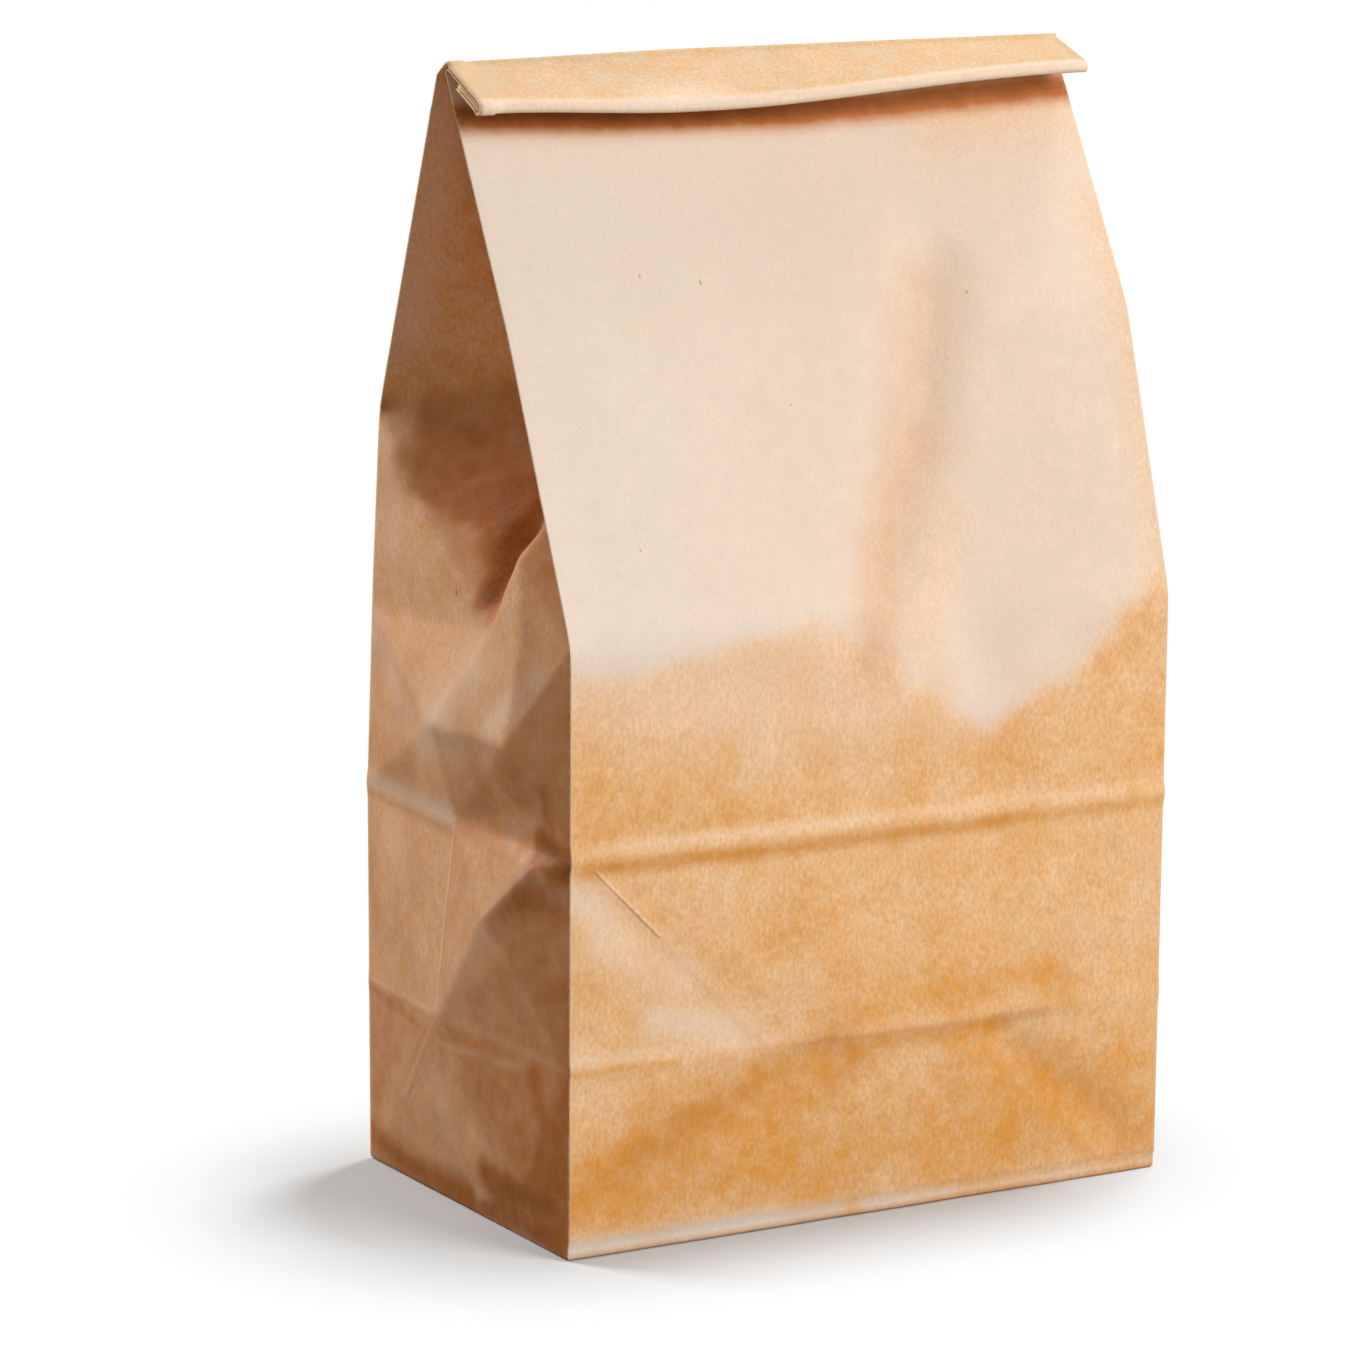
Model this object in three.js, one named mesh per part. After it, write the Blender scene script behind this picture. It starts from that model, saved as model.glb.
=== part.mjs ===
import * as THREE from 'three';

// Brown paper lunch bag, standing on its folded base with its mouth rolled shut over the front.
// Millimetres, +Z up, front face towards -Y. The bag is one sheet of paper, folded and glued by
// its maker, so it is one closed body: two wide panels, two gussets that fold in between them
// towards the top, and a flattened roll made of all of its plies.

const { clamp, degToRad, lerp, radToDeg, smoothstep } = THREE.MathUtils;

// The flat bag
const bagWidth = 152;
const bagDepth = 92;
const plyEdge = 0.22;
const seamWidth = 3.8;
const seamStep = 0.3;

// Heights, from the surface that the bag stands on
const bottomBevel = 0.9;
const lowerCrease = 41.6;
const notchHeight = 76.4;
const upperCrease = 87.4;
const gussetPoint = 108.5;
const backOpenHeight = 127;
const frontBend = 133;
const kinkHeight = 150;
const frontOpenHeight = 158;
const valleyTop = 162;
const valleyDrop = 14.5;
const backBend = 173;
const foldedIn = 186;
const middleBend = 195;
const bodyTop = 240;

// The level creases stand proud of the panels by this much, over this far on either side
const creaseProud = 0.7;
const creaseReach = 3.4;

// How far the gussets are pushed out at their three middle points
const lowerBulge = 6;
const upperBulge = 1.5;
const pointBulge = 6.5;

// The front is cushioned below its upper crease, and pressed in where its bend dips to a point
const frontBulge = 1.8;
const frontDent = 6;
const dentFoot = 108;
const dentTop = 215;
const dentAcross = 26;
const dentLeft = 60;

// Shallow valleys of the front panel. The two ends of each are shares of the half width, from the
// middle, and of the lower crease's height; then come its depth and its reach to either side.
const frontValleys = [
  { from: [-0.9, 0.3], to: [-0.63, 0.55], deep: 1, reach: 10 },
  { from: [-0.63, 0.55], to: [-0.18, 0.94], deep: 1, reach: 10 },
  { from: [0.45, 0.86], to: [0.87, 0.26], deep: 1, reach: 10 },
  { from: [-0.87, 1.9], to: [-0.4, 1.08], deep: 0.4, reach: 12 },
];

// The roll: all plies lie flat in one stack, which bends over the ridge and back under at the lip
const stackThickness = 0.9;
const ridgeBend = 0.6;
const lipBend = 0.25;
const lipDroop = 28;
const lipRadius = 3;
const turnedUp = 10;
const panelHeading = -29;

// Where the inner ply bends over the ridge, at the left end, near the middle and at the right end
const rollBackLeft = 9.6;
const rollBackMiddle = 7.4;
const rollBackRight = 3.3;
const rollHeightLeft = 248.8;
const rollHeightMiddle = 250.1;
const rollHeightRight = 250.8;
const rollMiddle = -22;

// The flap's fall below the level there, in degrees, and the length of its straight part
const flapFallLeft = 26;
const flapFallMiddle = 33.5;
const flapFallRight = 20.5;
const flapLeft = 13.7;
const flapMiddle = 15;
const flapRight = 11.5;

// The outer ply turns over the ridge in two creases: back and height from the inner ply's bend
const outerPly = [[5.3, -2.6], [4.6, -0.5], [2.4, 0.95], [0.2, 2.4]];

// Share of the way from the upright panel to the roll that each edge has gone at a height
const frontLeftLean = [[0, 0], [frontBend, 0.01], [middleBend, 0.5]];
const frontRightLean = [[0, 0], [frontBend, 0], [middleBend, 0.375]];
const backLean = [[0, 0], [upperCrease, -0.035], [frontBend, 0.05], [backBend, 0.16]];

// Spacing of the facets
const ringStep = 4.1;
const frontColumns = 24;
const backColumns = 16;
const gussetColumns = 8;
const flapSteps = 3;
const droopSteps = 3;
const lipSteps = 5;
const turnedSteps = 2;

const halfWidth = bagWidth / 2;
const halfDepth = bagDepth / 2;

// Straight lines through a short list of [position, value] points
function through(points, at) {
  const next = points.findIndex(([position]) => position >= at);
  if (next === 0) return points[0][1];
  if (next < 0) return points[points.length - 1][1];
  const [fromPosition, fromValue] = points[next - 1];
  const [toPosition, toValue] = points[next];
  return lerp(fromValue, toValue, (at - fromPosition) / (toPosition - fromPosition));
}

// A tent: 1 at its middle, 0 at its reach on either side
function tent(distance, reach) {
  return Math.max(0, 1 - Math.abs(distance) / reach);
}

// Shape of the roll at any place across the bag
const rollShape = [
  { x: -halfWidth, y: rollBackLeft, z: rollHeightLeft, fall: flapFallLeft, run: flapLeft },
  { x: rollMiddle, y: rollBackMiddle, z: rollHeightMiddle, fall: flapFallMiddle, run: flapMiddle },
  { x: halfWidth, y: rollBackRight, z: rollHeightRight, fall: flapFallRight, run: flapRight },
];

function rollAt(x) {
  const across = clamp(x, -halfWidth, halfWidth);
  const [left, middle, right] = rollShape;
  const [from, to] = across < middle.x ? [left, middle] : [middle, right];
  const eased = smoothstep(across, from.x, to.x);
  const straight = (across - from.x) / (to.x - from.x);
  return {
    y: lerp(from.y, to.y, straight),
    z: lerp(from.z, to.z, straight),
    fall: degToRad(lerp(from.fall, to.fall, eased)),
    run: lerp(from.run, to.run, eased),
  };
}

// Where the front panel meets the roll, and where the back panel does
function frontTop(x) {
  const roll = rollAt(x);
  const heading = degToRad(panelHeading);
  return [roll.y + ridgeBend * Math.cos(heading), roll.z + ridgeBend * Math.sin(heading)];
}

function backTop(x) {
  const roll = rollAt(x);
  return [roll.y + outerPly[0][0], roll.z + outerPly[0][1]];
}

// How proud the level creases stand at a height, the lower one half as much as the upper
function creaseAt(z) {
  const lower = 0.5 * tent(z - lowerCrease, creaseReach);
  return creaseProud * (lower + tent(z - upperCrease, creaseReach));
}

function pressedIn(x, z) {
  const wide = tent(x - dentAcross, x < dentAcross ? dentLeft : halfWidth - dentAcross);
  const rising = (z - lerp(frontBend, dentFoot, wide)) / (frontBend - dentFoot);
  const falling = (dentTop - z) / (dentTop - frontBend);
  return frontDent * wide * Math.max(0, Math.min(1, rising, falling));
}

// How deep the deepest of the front's valleys is at a place
function inValley(x, z) {
  const onFront = ([across, up]) => new THREE.Vector3(across * halfWidth, 0, up * lowerCrease);
  const here = new THREE.Vector3(x, 0, z);
  const depths = frontValleys.map(({ from, to, deep, reach }) => {
    const run = new THREE.Line3(onFront(from), onFront(to));
    const nearest = run.closestPointToPoint(here, true, new THREE.Vector3());
    return deep * tent(nearest.distanceTo(here), reach);
  });
  return Math.max(...depths);
}

function cushioned(x, z) {
  const fromEdge = 1 - Math.abs(x) / halfWidth;
  const below = z / lowerCrease;
  const above = (upperCrease - z) / (upperCrease - lowerCrease);
  return frontBulge * Math.max(0, Math.min(fromEdge, below, above));
}

function frontFace(x, z) {
  const [topY, topZ] = frontTop(x);
  const left = through([...frontLeftLean, [topZ, 1]], z);
  const right = through([...frontRightLean, [topZ, 1]], z);
  const lean = lerp(left, right, (x + halfWidth) / bagWidth);
  const inwards = pressedIn(x, z) + inValley(x, z) - creaseAt(z) - cushioned(x, z);
  return lerp(-halfDepth, topY, lean) + inwards;
}

function backFace(x, z) {
  const [topY, topZ] = backTop(x);
  const lean = through([...backLean, [topZ, 1]], z);
  return lerp(halfDepth, topY, lean) + creaseAt(z);
}

// Depth that a gusset folds in by at a height, from how far apart its two edges are
function foldDepth(side, z) {
  const apart = backFace(side * halfWidth, z) - frontFace(side * halfWidth, z);
  return Math.sqrt(Math.max(0, halfDepth ** 2 - (apart / 2) ** 2));
}

// Creases of a gusset meet at these points: [place across, height, depth folded in]. The place
// is -1 at the front edge, 0 on the middle crease and 1 at the back edge.
function creasePoints(side) {
  const valleyHeight = valleyTop - valleyDrop;
  const plain = {
    frontFoot: [-1, bottomBevel, 0],
    foot: [0, bottomBevel, 0],
    backFoot: [1, bottomBevel, 0],
    frontLower: [-1, lowerCrease, 0],
    lower: [0.06, lowerCrease + 2, -lowerBulge],
    backLower: [1, lowerCrease, 0],
    frontUpper: [-1, upperCrease, 0],
    upper: [0.03, upperCrease, -upperBulge],
    backUpper: [1, upperCrease, 0],
    point: [0.12, gussetPoint, -pointBulge],
    frontOpen: [-1, frontOpenHeight, 0],
    backOpen: [1, backOpenHeight, 0],
    valleyHigh: [0, valleyTop, foldDepth(side, valleyTop)],
    frontFolded: [-1, foldedIn, 0],
    folded: [0, foldedIn, foldDepth(side, foldedIn)],
    backFolded: [1, foldedIn, 0],
    valleyLow: [-0.04, valleyHeight, 0.85 * foldDepth(side, valleyHeight)],
  };
  if (side > 0) return plain;
  return {
    ...plain,
    dentLow: [-0.67, 0.33 * lowerCrease, -3],
    dentSide: [-0.42, notchHeight - 6, -6.3],
    frontNotch: [-1, notchHeight, 0],
    dentHigh: [-0.78, upperCrease - 2.8, -4],
    pucker: [-0.87, lerp(upperCrease, gussetPoint, 0.55), -1.8],
    shoulder: [-0.6, gussetPoint + 1.4, -6],
    frontBent: [-1, frontBend, 0],
    kink: [-0.7, kinkHeight, -1.6],
    valleyStart: [-0.2, lerp(gussetPoint, valleyHeight, 0.58), 0.4],
    slitEdge: [0.05, valleyHeight + 0.6, 10],
    backStrip: [0.64, lerp(backOpenHeight, backBend, 0.62), 0.2],
    backEdge: [1, backBend, 0],
    pinch: [0.86, backBend + 3, 7],
  };
}

// The flat facets between the creases, each by the names of its corners
const plainFacets = [
  'frontFoot foot lower', 'frontFoot lower frontLower', 'foot backFoot lower',
  'backFoot backLower lower', 'frontLower lower upper', 'frontLower upper frontUpper',
  'lower backLower backUpper', 'lower backUpper upper', 'frontUpper upper point',
  'frontUpper point frontOpen', 'upper backUpper point', 'backUpper backOpen point',
  'point valleyLow frontOpen', 'point backOpen valleyLow', 'frontOpen valleyLow valleyHigh',
  'valleyLow backOpen valleyHigh', 'frontOpen valleyHigh frontFolded',
  'frontFolded valleyHigh folded', 'backOpen backFolded valleyHigh',
  'valleyHigh backFolded folded',
];

const crumpledFacets = [
  'frontFoot foot dentLow', 'frontFoot dentLow frontLower', 'foot lower dentLow',
  'dentLow lower frontLower', 'foot backFoot lower', 'backFoot backLower lower',
  'frontLower lower dentSide', 'frontLower dentSide frontNotch', 'lower upper dentSide',
  'dentSide upper dentHigh', 'dentSide dentHigh frontNotch', 'frontNotch dentHigh frontUpper',
  'upper frontUpper dentHigh', 'lower backLower backUpper', 'lower backUpper upper',
  'upper pucker frontUpper', 'upper shoulder pucker', 'pucker frontBent frontUpper',
  'pucker shoulder frontBent', 'upper point shoulder', 'upper backUpper point',
  'point backUpper backOpen', 'point kink shoulder', 'shoulder kink frontBent',
  'frontBent kink frontOpen', 'point valleyStart kink', 'kink valleyStart valleyLow',
  'kink valleyLow frontOpen', 'frontOpen valleyLow valleyHigh',
  'frontOpen valleyHigh frontFolded', 'frontFolded valleyHigh folded',
  'point backOpen valleyStart', 'valleyStart backOpen backStrip',
  'valleyStart backStrip slitEdge', 'valleyStart slitEdge valleyLow',
  'slitEdge backStrip valleyHigh', 'slitEdge valleyHigh valleyLow',
  'backStrip backOpen backEdge', 'valleyHigh backStrip pinch', 'backStrip backEdge pinch',
  'valleyHigh pinch folded', 'pinch backEdge backFolded', 'pinch backFolded folded',
];

const gussets = [
  { side: 1, creases: creasePoints(1), facets: plainFacets },
  { side: -1, creases: creasePoints(-1), facets: crumpledFacets },
];

// The roll as pairs of points, one on the inner ply and one on the outer ply, from the ridge over
// the flap, round its lip and back up behind it
function rollPairs(x) {
  const roll = rollAt(x);
  const pairs = [];
  const flapNormal = 90 + radToDeg(roll.fall);
  const onBend = (angle) => [
    roll.y + ridgeBend * Math.cos(degToRad(angle)),
    roll.z + ridgeBend * Math.sin(degToRad(angle)),
  ];
  outerPly.forEach(([back, up], i) => {
    const angle = lerp(panelHeading, flapNormal, i / outerPly.length);
    pairs.push([onBend(angle), [roll.y + back, roll.z + up]]);
  });

  // The flap's path along the inner ply: each place with its fall below the level
  const path = [{ place: onBend(flapNormal), fall: roll.fall }];
  const advance = (length, turn) => {
    const last = path[path.length - 1];
    const heading = last.fall + turn / 2;
    path.push({
      place: [
        last.place[0] - length * Math.cos(heading),
        last.place[1] - length * Math.sin(heading),
      ],
      fall: last.fall + turn,
    });
  };
  for (let i = 0; i < flapSteps; i++) advance(roll.run / flapSteps, 0);
  const droop = degToRad(lipDroop) / droopSteps;
  const droopChord = 2 * lipRadius * Math.sin(droop / 2);
  for (let i = 0; i < droopSteps; i++) advance(droopChord, droop);
  const off = ({ place, fall }, distance) => [
    place[0] - distance * Math.sin(fall),
    place[1] + distance * Math.cos(fall),
  ];
  for (const at of path) pairs.push([at.place, off(at, stackThickness)]);

  // The lip turns half round, and the plies run back up behind the flap
  const end = path[path.length - 1];
  const centre = off(end, -lipBend);
  for (let i = 1; i < lipSteps; i++) {
    const angle = Math.PI / 2 + end.fall + (Math.PI * i) / lipSteps;
    const onLip = (radius) => [
      centre[0] + radius * Math.cos(angle),
      centre[1] + radius * Math.sin(angle),
    ];
    pairs.push([onLip(lipBend), onLip(lipBend + stackThickness)]);
  }
  const behind = (at) => [off(at, -2 * lipBend), off(at, -2 * lipBend - stackThickness)];
  for (let i = path.length - 1; i >= flapSteps; i--) pairs.push(behind(path[i]));
  const straight = Math.min(turnedUp - droopSteps * droopChord, roll.run);
  const { place, fall } = path[flapSteps];
  for (let i = 1; i <= turnedSteps; i++) {
    const back = (straight * i) / turnedSteps;
    const at = [place[0] + back * Math.cos(fall), place[1] + back * Math.sin(fall)];
    pairs.push(behind({ place: at, fall }));
  }
  return pairs;
}

// Rings up the bag: level ones on the body, two that rise to the roll, then those of the roll
const keyLevels = new Set([
  lowerCrease - creaseReach, lowerCrease + creaseReach, upperCrease - creaseReach,
  upperCrease + creaseReach, backBend, bodyTop,
]);
for (const { creases } of gussets) {
  for (const [place, height] of Object.values(creases)) {
    if (Math.abs(place) === 1) keyLevels.add(height);
  }
}
const rings = [{ level: 0 }];
for (const level of [...keyLevels].sort((a, b) => a - b)) {
  const from = rings[rings.length - 1].level;
  const steps = Math.ceil((level - from) / ringStep);
  for (let i = 1; i <= steps; i++) rings.push({ level: lerp(from, level, i / steps) });
}
for (const rise of [1 / 3, 2 / 3]) rings.push({ level: bodyTop, rise });
rollPairs(0).forEach((_, index) => rings.push({ index }));

// Columns round the bag, from the front's left edge, anticlockwise seen from above
const columns = [];
for (let i = 0; i <= frontColumns; i++) {
  columns.push({ ply: 0, x: lerp(-halfWidth, halfWidth, i / frontColumns) });
}
for (let i = 0; i <= gussetColumns; i++) {
  columns.push({ side: 1, place: lerp(-1, 1, i / gussetColumns) });
}
for (let i = 0; i <= backColumns; i++) {
  columns.push({ ply: 1, x: lerp(halfWidth, seamWidth - halfWidth, i / backColumns) });
}
for (const x of [seamWidth - halfWidth, -halfWidth]) {
  columns.push({ ply: 1, x, proud: seamStep });
}
for (let i = 0; i <= gussetColumns; i++) {
  columns.push({ side: -1, place: lerp(1, -1, i / gussetColumns) });
}

// A point of a ring: x across the bag, and a share of the way from the front ply to the back one
function ringPoint(ring, x, shareOf) {
  let front;
  let back;
  let cut = 0;
  if (ring.index !== undefined) {
    [front, back] = rollPairs(x)[ring.index];
  } else {
    const rise = ring.rise ?? 0;
    const frontZ = lerp(ring.level, frontTop(x)[1], rise);
    const backZ = lerp(ring.level, backTop(x)[1], rise);
    cut = Math.max(0, bottomBevel - ring.level);
    front = [frontFace(clamp(x, -halfWidth, halfWidth), frontZ) + cut, frontZ];
    back = [backFace(x, backZ) - cut, backZ];
  }
  const share = shareOf(Math.hypot(back[0] - front[0], back[1] - front[1]));
  return new THREE.Vector3(
    (x * (halfWidth - cut)) / halfWidth,
    lerp(front[0], back[0], share),
    lerp(front[1], back[1], share),
  );
}

// A gusset's surface starts one ply in from the front panel and ends one ply in from the back
function gussetShare(place, apart) {
  const edge = plyEdge / apart;
  return lerp(edge, 1 - edge, (place + 1) / 2);
}

function gussetPoint3(ring, side, place, depth) {
  return ringPoint(ring, side * (halfWidth - depth), (apart) => gussetShare(place, apart));
}

function columnPoint(ring, column) {
  const { ply, x, side, place, proud = 0 } = column;
  if (side === undefined) return ringPoint(ring, x, (apart) => ply + proud / apart);
  let depth = 0;
  if (ring.index !== undefined) depth = halfDepth;
  else if (ring.level >= foldedIn) depth = foldDepth(side, ring.level);
  return gussetPoint3(ring, side, place, depth * (1 - Math.abs(place)));
}

// Corners of the faces, each made once and kept by its name
const corners = [];
const cornerNames = new Map();

function corner(name, makePoint) {
  if (!cornerNames.has(name)) {
    cornerNames.set(name, corners.length);
    corners.push(makePoint());
  }
  return cornerNames.get(name);
}

function ringCorner(ring, column) {
  const name = `ring ${rings.indexOf(ring)} column ${columns.indexOf(column)}`;
  return corner(name, () => columnPoint(ring, column));
}

// The columns that a band of rings uses. Between the base and the height where the gussets are
// folded in, their facets take the place of their columns.
function columnsUsed(ring) {
  if (!(ring.level < foldedIn)) return columns;
  const places = ring.level < bottomBevel ? [-1, 0, 1] : [-1, 1];
  return columns.filter(({ side, place }) => side === undefined || places.includes(place));
}

const faces = [];

// A quad of a panel is split along the diagonal that lies nearer to the panel's true surface
function addBand(ring, next) {
  const used = columnsUsed(ring);
  used.forEach((column, i) => {
    const beside = used[(i + 1) % used.length];
    const creased = ring.level >= bottomBevel && ring.level < foldedIn;
    if (creased && column.side !== undefined && column.side === beside.side) return;
    const a = ringCorner(ring, column);
    const b = ringCorner(ring, beside);
    const c = ringCorner(next, beside);
    const d = ringCorner(next, column);
    let rising = false;
    if (column.ply === 0 && beside.ply === 0 && next.level !== undefined) {
      const level = (ring.level + next.level) / 2;
      const centre = columnPoint({ level }, { ply: 0, x: (column.x + beside.x) / 2 });
      const away = (p, q) => corners[p].clone().lerp(corners[q], 0.5).distanceTo(centre);
      rising = away(b, d) < away(a, c);
    }
    if (rising) faces.push(a, b, d, b, c, d);
    else faces.push(a, b, c, a, c, d);
  });
}

// A facet is one flat face, fanned out to the corners of the panels or of the folded part where
// one of its sides lies along them
function addFacet({ side, creases }, names) {
  const outline = names.split(' ').map((name) => ({ name, at: creases[name] }));
  const cornerAt = ({ name, at: [place, height, depth] }) => {
    const ring = rings.find(({ level }) => level === height);
    const column = columns.find((one) => one.side === side && one.place === place);
    const onOutline = Math.abs(place) === 1 || height === bottomBevel || height === foldedIn;
    if (onOutline) return ringCorner(ring, column);
    const makePoint = () => gussetPoint3({ level: height }, side, place, depth);
    return corner(`${side} ${name}`, makePoint);
  };
  const between = ([fromPlace, fromHeight], [toPlace, toHeight]) => {
    let found = [];
    if (fromPlace === toPlace && Math.abs(fromPlace) === 1) {
      const inside = ({ level }) => (level - fromHeight) * (level - toHeight) < 0;
      found = rings.filter(inside).map(({ level }) => [fromPlace, level, 0]);
      if (toHeight < fromHeight) found.reverse();
    } else if (fromHeight === foldedIn && toHeight === foldedIn) {
      const inside = (one) => (one.place - fromPlace) * (one.place - toPlace) < 0;
      const row = columns.filter((one) => one.side === side && inside(one));
      found = row.map(({ place }) => [place, foldedIn, 0]);
      found.sort((p, q) => (p[0] - q[0]) * Math.sign(toPlace - fromPlace));
    }
    return found.map((at) => ({ name: '', at }));
  };
  for (let turn = 0; turn < 3; turn++) {
    const [a, b, c] = [0, 1, 2].map((i) => outline[(i + turn) % 3]);
    const along = between(a.at, b.at);
    if (along.length === 0 && turn < 2) continue;
    const row = [a, ...along, b].map(cornerAt);
    const apex = cornerAt(c);
    const across = (b.at[0] - a.at[0]) * (c.at[1] - a.at[1]);
    const up = (b.at[1] - a.at[1]) * (c.at[0] - a.at[0]);
    const outward = (across - up) * side > 0;
    for (let i = 0; i + 1 < row.length; i++) {
      if (outward) faces.push(row[i], row[i + 1], apex);
      else faces.push(row[i + 1], row[i], apex);
    }
    return;
  }
}

// A lid over one ring, seen flat, which closes the base or the mouth's edge
function addLid(ring, used, flatten, turned) {
  const outline = used.map(flatten);
  for (const triangle of THREE.ShapeUtils.triangulateShape(outline, [])) {
    const [a, b, c] = triangle.map((i) => ringCorner(ring, used[i]));
    if (turned) faces.push(a, c, b);
    else faces.push(a, b, c);
  }
}

function onMouth({ ply, x, side, place, proud = 0 }) {
  if (side === undefined) return new THREE.Vector2(x, ply * stackThickness + proud);
  const across = side * (halfWidth - halfDepth * (1 - Math.abs(place)));
  return new THREE.Vector2(across, gussetShare(place, stackThickness) * stackThickness);
}

for (let i = 0; i + 1 < rings.length; i++) addBand(rings[i], rings[i + 1]);
for (const gusset of gussets) {
  for (const names of gusset.facets) addFacet(gusset, names);
}
const [base] = rings;
const mouth = rings[rings.length - 1];
const onBase = (column) => {
  const { x, y } = columnPoint(base, column);
  return new THREE.Vector2(x, y);
};
addLid(base, columnsUsed(base), onBase, true);
addLid(mouth, columns, onMouth, false);

// The origin is under the middle of the bag's box, on the surface that the bag stands on
const geometry = new THREE.BufferGeometry();
const positions = corners.flatMap((point) => point.toArray());
geometry.setAttribute('position', new THREE.Float32BufferAttribute(positions, 3));
geometry.setIndex(faces);
geometry.computeBoundingBox();
const middle = geometry.boundingBox.getCenter(new THREE.Vector3());
geometry.translate(-middle.x, -middle.y, -geometry.boundingBox.min.z);
geometry.computeVertexNormals();

const kraftPaper = new THREE.MeshStandardMaterial({
  color: '#d6ab78',
  roughness: 0.6,
  metalness: 0,
  flatShading: true,
});
const bag = new THREE.Mesh(geometry, kraftPaper);
bag.name = 'paper_bag';

const model = new THREE.Group();
model.add(bag);
export default model;
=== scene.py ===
import math

import bpy
import numpy as np
from mathutils import Matrix, Vector, noise
from mathutils.geometry import tessellate_polygon


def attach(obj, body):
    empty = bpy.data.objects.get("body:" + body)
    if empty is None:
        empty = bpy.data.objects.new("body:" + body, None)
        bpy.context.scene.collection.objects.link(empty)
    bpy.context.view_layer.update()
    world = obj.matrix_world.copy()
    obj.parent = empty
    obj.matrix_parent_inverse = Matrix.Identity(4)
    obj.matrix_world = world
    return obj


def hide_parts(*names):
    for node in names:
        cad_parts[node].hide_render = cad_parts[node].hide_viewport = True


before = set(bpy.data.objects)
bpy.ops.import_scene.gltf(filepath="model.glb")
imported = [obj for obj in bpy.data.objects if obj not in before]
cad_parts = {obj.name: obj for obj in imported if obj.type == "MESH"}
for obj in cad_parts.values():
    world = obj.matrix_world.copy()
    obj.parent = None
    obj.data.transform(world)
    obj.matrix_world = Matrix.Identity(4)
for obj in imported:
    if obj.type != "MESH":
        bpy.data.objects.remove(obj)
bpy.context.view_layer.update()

# A brown paper lunch bag with its mouth rolled shut. Lengths are in millimetres up to the point
# where a mesh is made. +Z is up, the front faces -Y and the crumpled side faces -X.

MM = 0.001

# The bag's width and depth, its ply at the gussets' edges, the rounding of its lower edge, and the
# overlap of its seam
BAG_WIDTH = 152
BAG_DEPTH = 92
PLY_EDGE = 0.22
BOTTOM_BEVEL = 0.9
BEVEL_ROWS = [0, 0.1, 0.3, 0.55]
SEAM_WIDTH = 3.8
SEAM_STEP = 0.3
HALF_WIDTH = BAG_WIDTH / 2
HALF_DEPTH = BAG_DEPTH / 2

# Heights of the creases
LOWER_CREASE = 41.6
NOTCH_HEIGHT = 76.4
UPPER_CREASE = 87.4
GUSSET_POINT = 108.5
BACK_OPEN_HEIGHT = 127
FRONT_BEND = 133
KINK_HEIGHT = 150
FRONT_OPEN_HEIGHT = 158
VALLEY_TOP = 162
VALLEY_HEIGHT = VALLEY_TOP - 14.5
BACK_BEND = 173
FOLDED_IN = 186
MIDDLE_BEND = 195
BODY_TOP = 240

# How far the level creases stand out, and how far above and below them the paper follows
CREASE_PROUD = 0.7
CREASE_REACH = 3.4

# How far the gussets are pushed out at their three middle points
LOWER_BULGE = 6
UPPER_BULGE = 1.5
POINT_BULGE = 6.5

# The front is cushioned below its upper crease and pressed in where its bend dips to a point
FRONT_BULGE = 1.8
FRONT_DENT = 6
DENT_FOOT = 108
DENT_TOP = 215
DENT_ACROSS = 26
DENT_LEFT = 60

# Shallow valleys of the front: where each starts and ends, as shares of half the width and of the
# lower crease's height, then how deep and how wide it is
FRONT_VALLEYS = [
    ((-0.9, 0.3), (-0.63, 0.55), 1, 10),
    ((-0.63, 0.55), (-0.18, 0.94), 1, 10),
    ((0.45, 0.86), (0.87, 0.26), 1, 10),
    ((-0.87, 1.9), (-0.4, 1.08), 0.4, 12),
]

# A soft line is given by its two ends, a width, and a strength or depth. On the front its ends are
# places across and up, and on the left side places back and up.

# The long soft valley of the front's upper part, and the fold pinched thin beside the notch
UPPER_VALLEY = [
    ((30, 205), (18, 165), 8, 2.2),
    ((18, 165), (8, 143), 8, 2.2),
]
PINCHED_FOLDS = [
    ((-70, 84), (-58, 74), 0.9, 0.35),
    ((-58, 74), (-27, 42), 1.4, 0.2),
]

# Waves of the paper on the front, the back and the gussets, inwards, and of the front's tide line:
# a height, a size and a seed each
FRONT_WAVES = [(0.55, 34, 1.7), (0.16, 13, 5.1), (0.035, 4.5, 8.3)]
BACK_WAVES = [(0.6, 36, 21.3), (0.15, 12, 25.9)]
GUSSET_WAVES = [(0.5, 27, 40), (0.3, 10, 44.7), (0.08, 4, 49.2)]
TIDE_WAVES = [(4, 26, 3.1), (2.5, 9, 6.4), (1, 4, 7.7)]

# The strip along the front's foot lies back a little
FOOT_STRIP_TOP = 4.4
FOOT_STRIP_BOTTOM = 3.5
FOOT_STRIP_STEP = 0.4

# The roll, with three values for its left end, near its middle and its right end, the corners of
# its outer ply over the ridge, and the direction across its plies at the mouth, back and up
STACK = 0.9
RIDGE_BEND = 0.6
LIP_BEND = 0.25
LIP_DROOP = 28
LIP_RADIUS = 3
TURNED_UP = 10
PANEL_HEADING = -29
ROLL_X = [-HALF_WIDTH, -22, HALF_WIDTH]
ROLL_Y = [9.6, 7.4, 3.3]
ROLL_Z = [248.8, 250.1, 250.8]
ROLL_FALL = [26, 33.5, 20.5]
ROLL_RUN = [13.7, 15, 11.5]
OUTER_PLY = [(5.3, -2.6), (4.6, -0.5), (2.4, 0.95), (0.2, 2.4)]
ACROSS_PLIES = (-0.5, 0.86)

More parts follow.
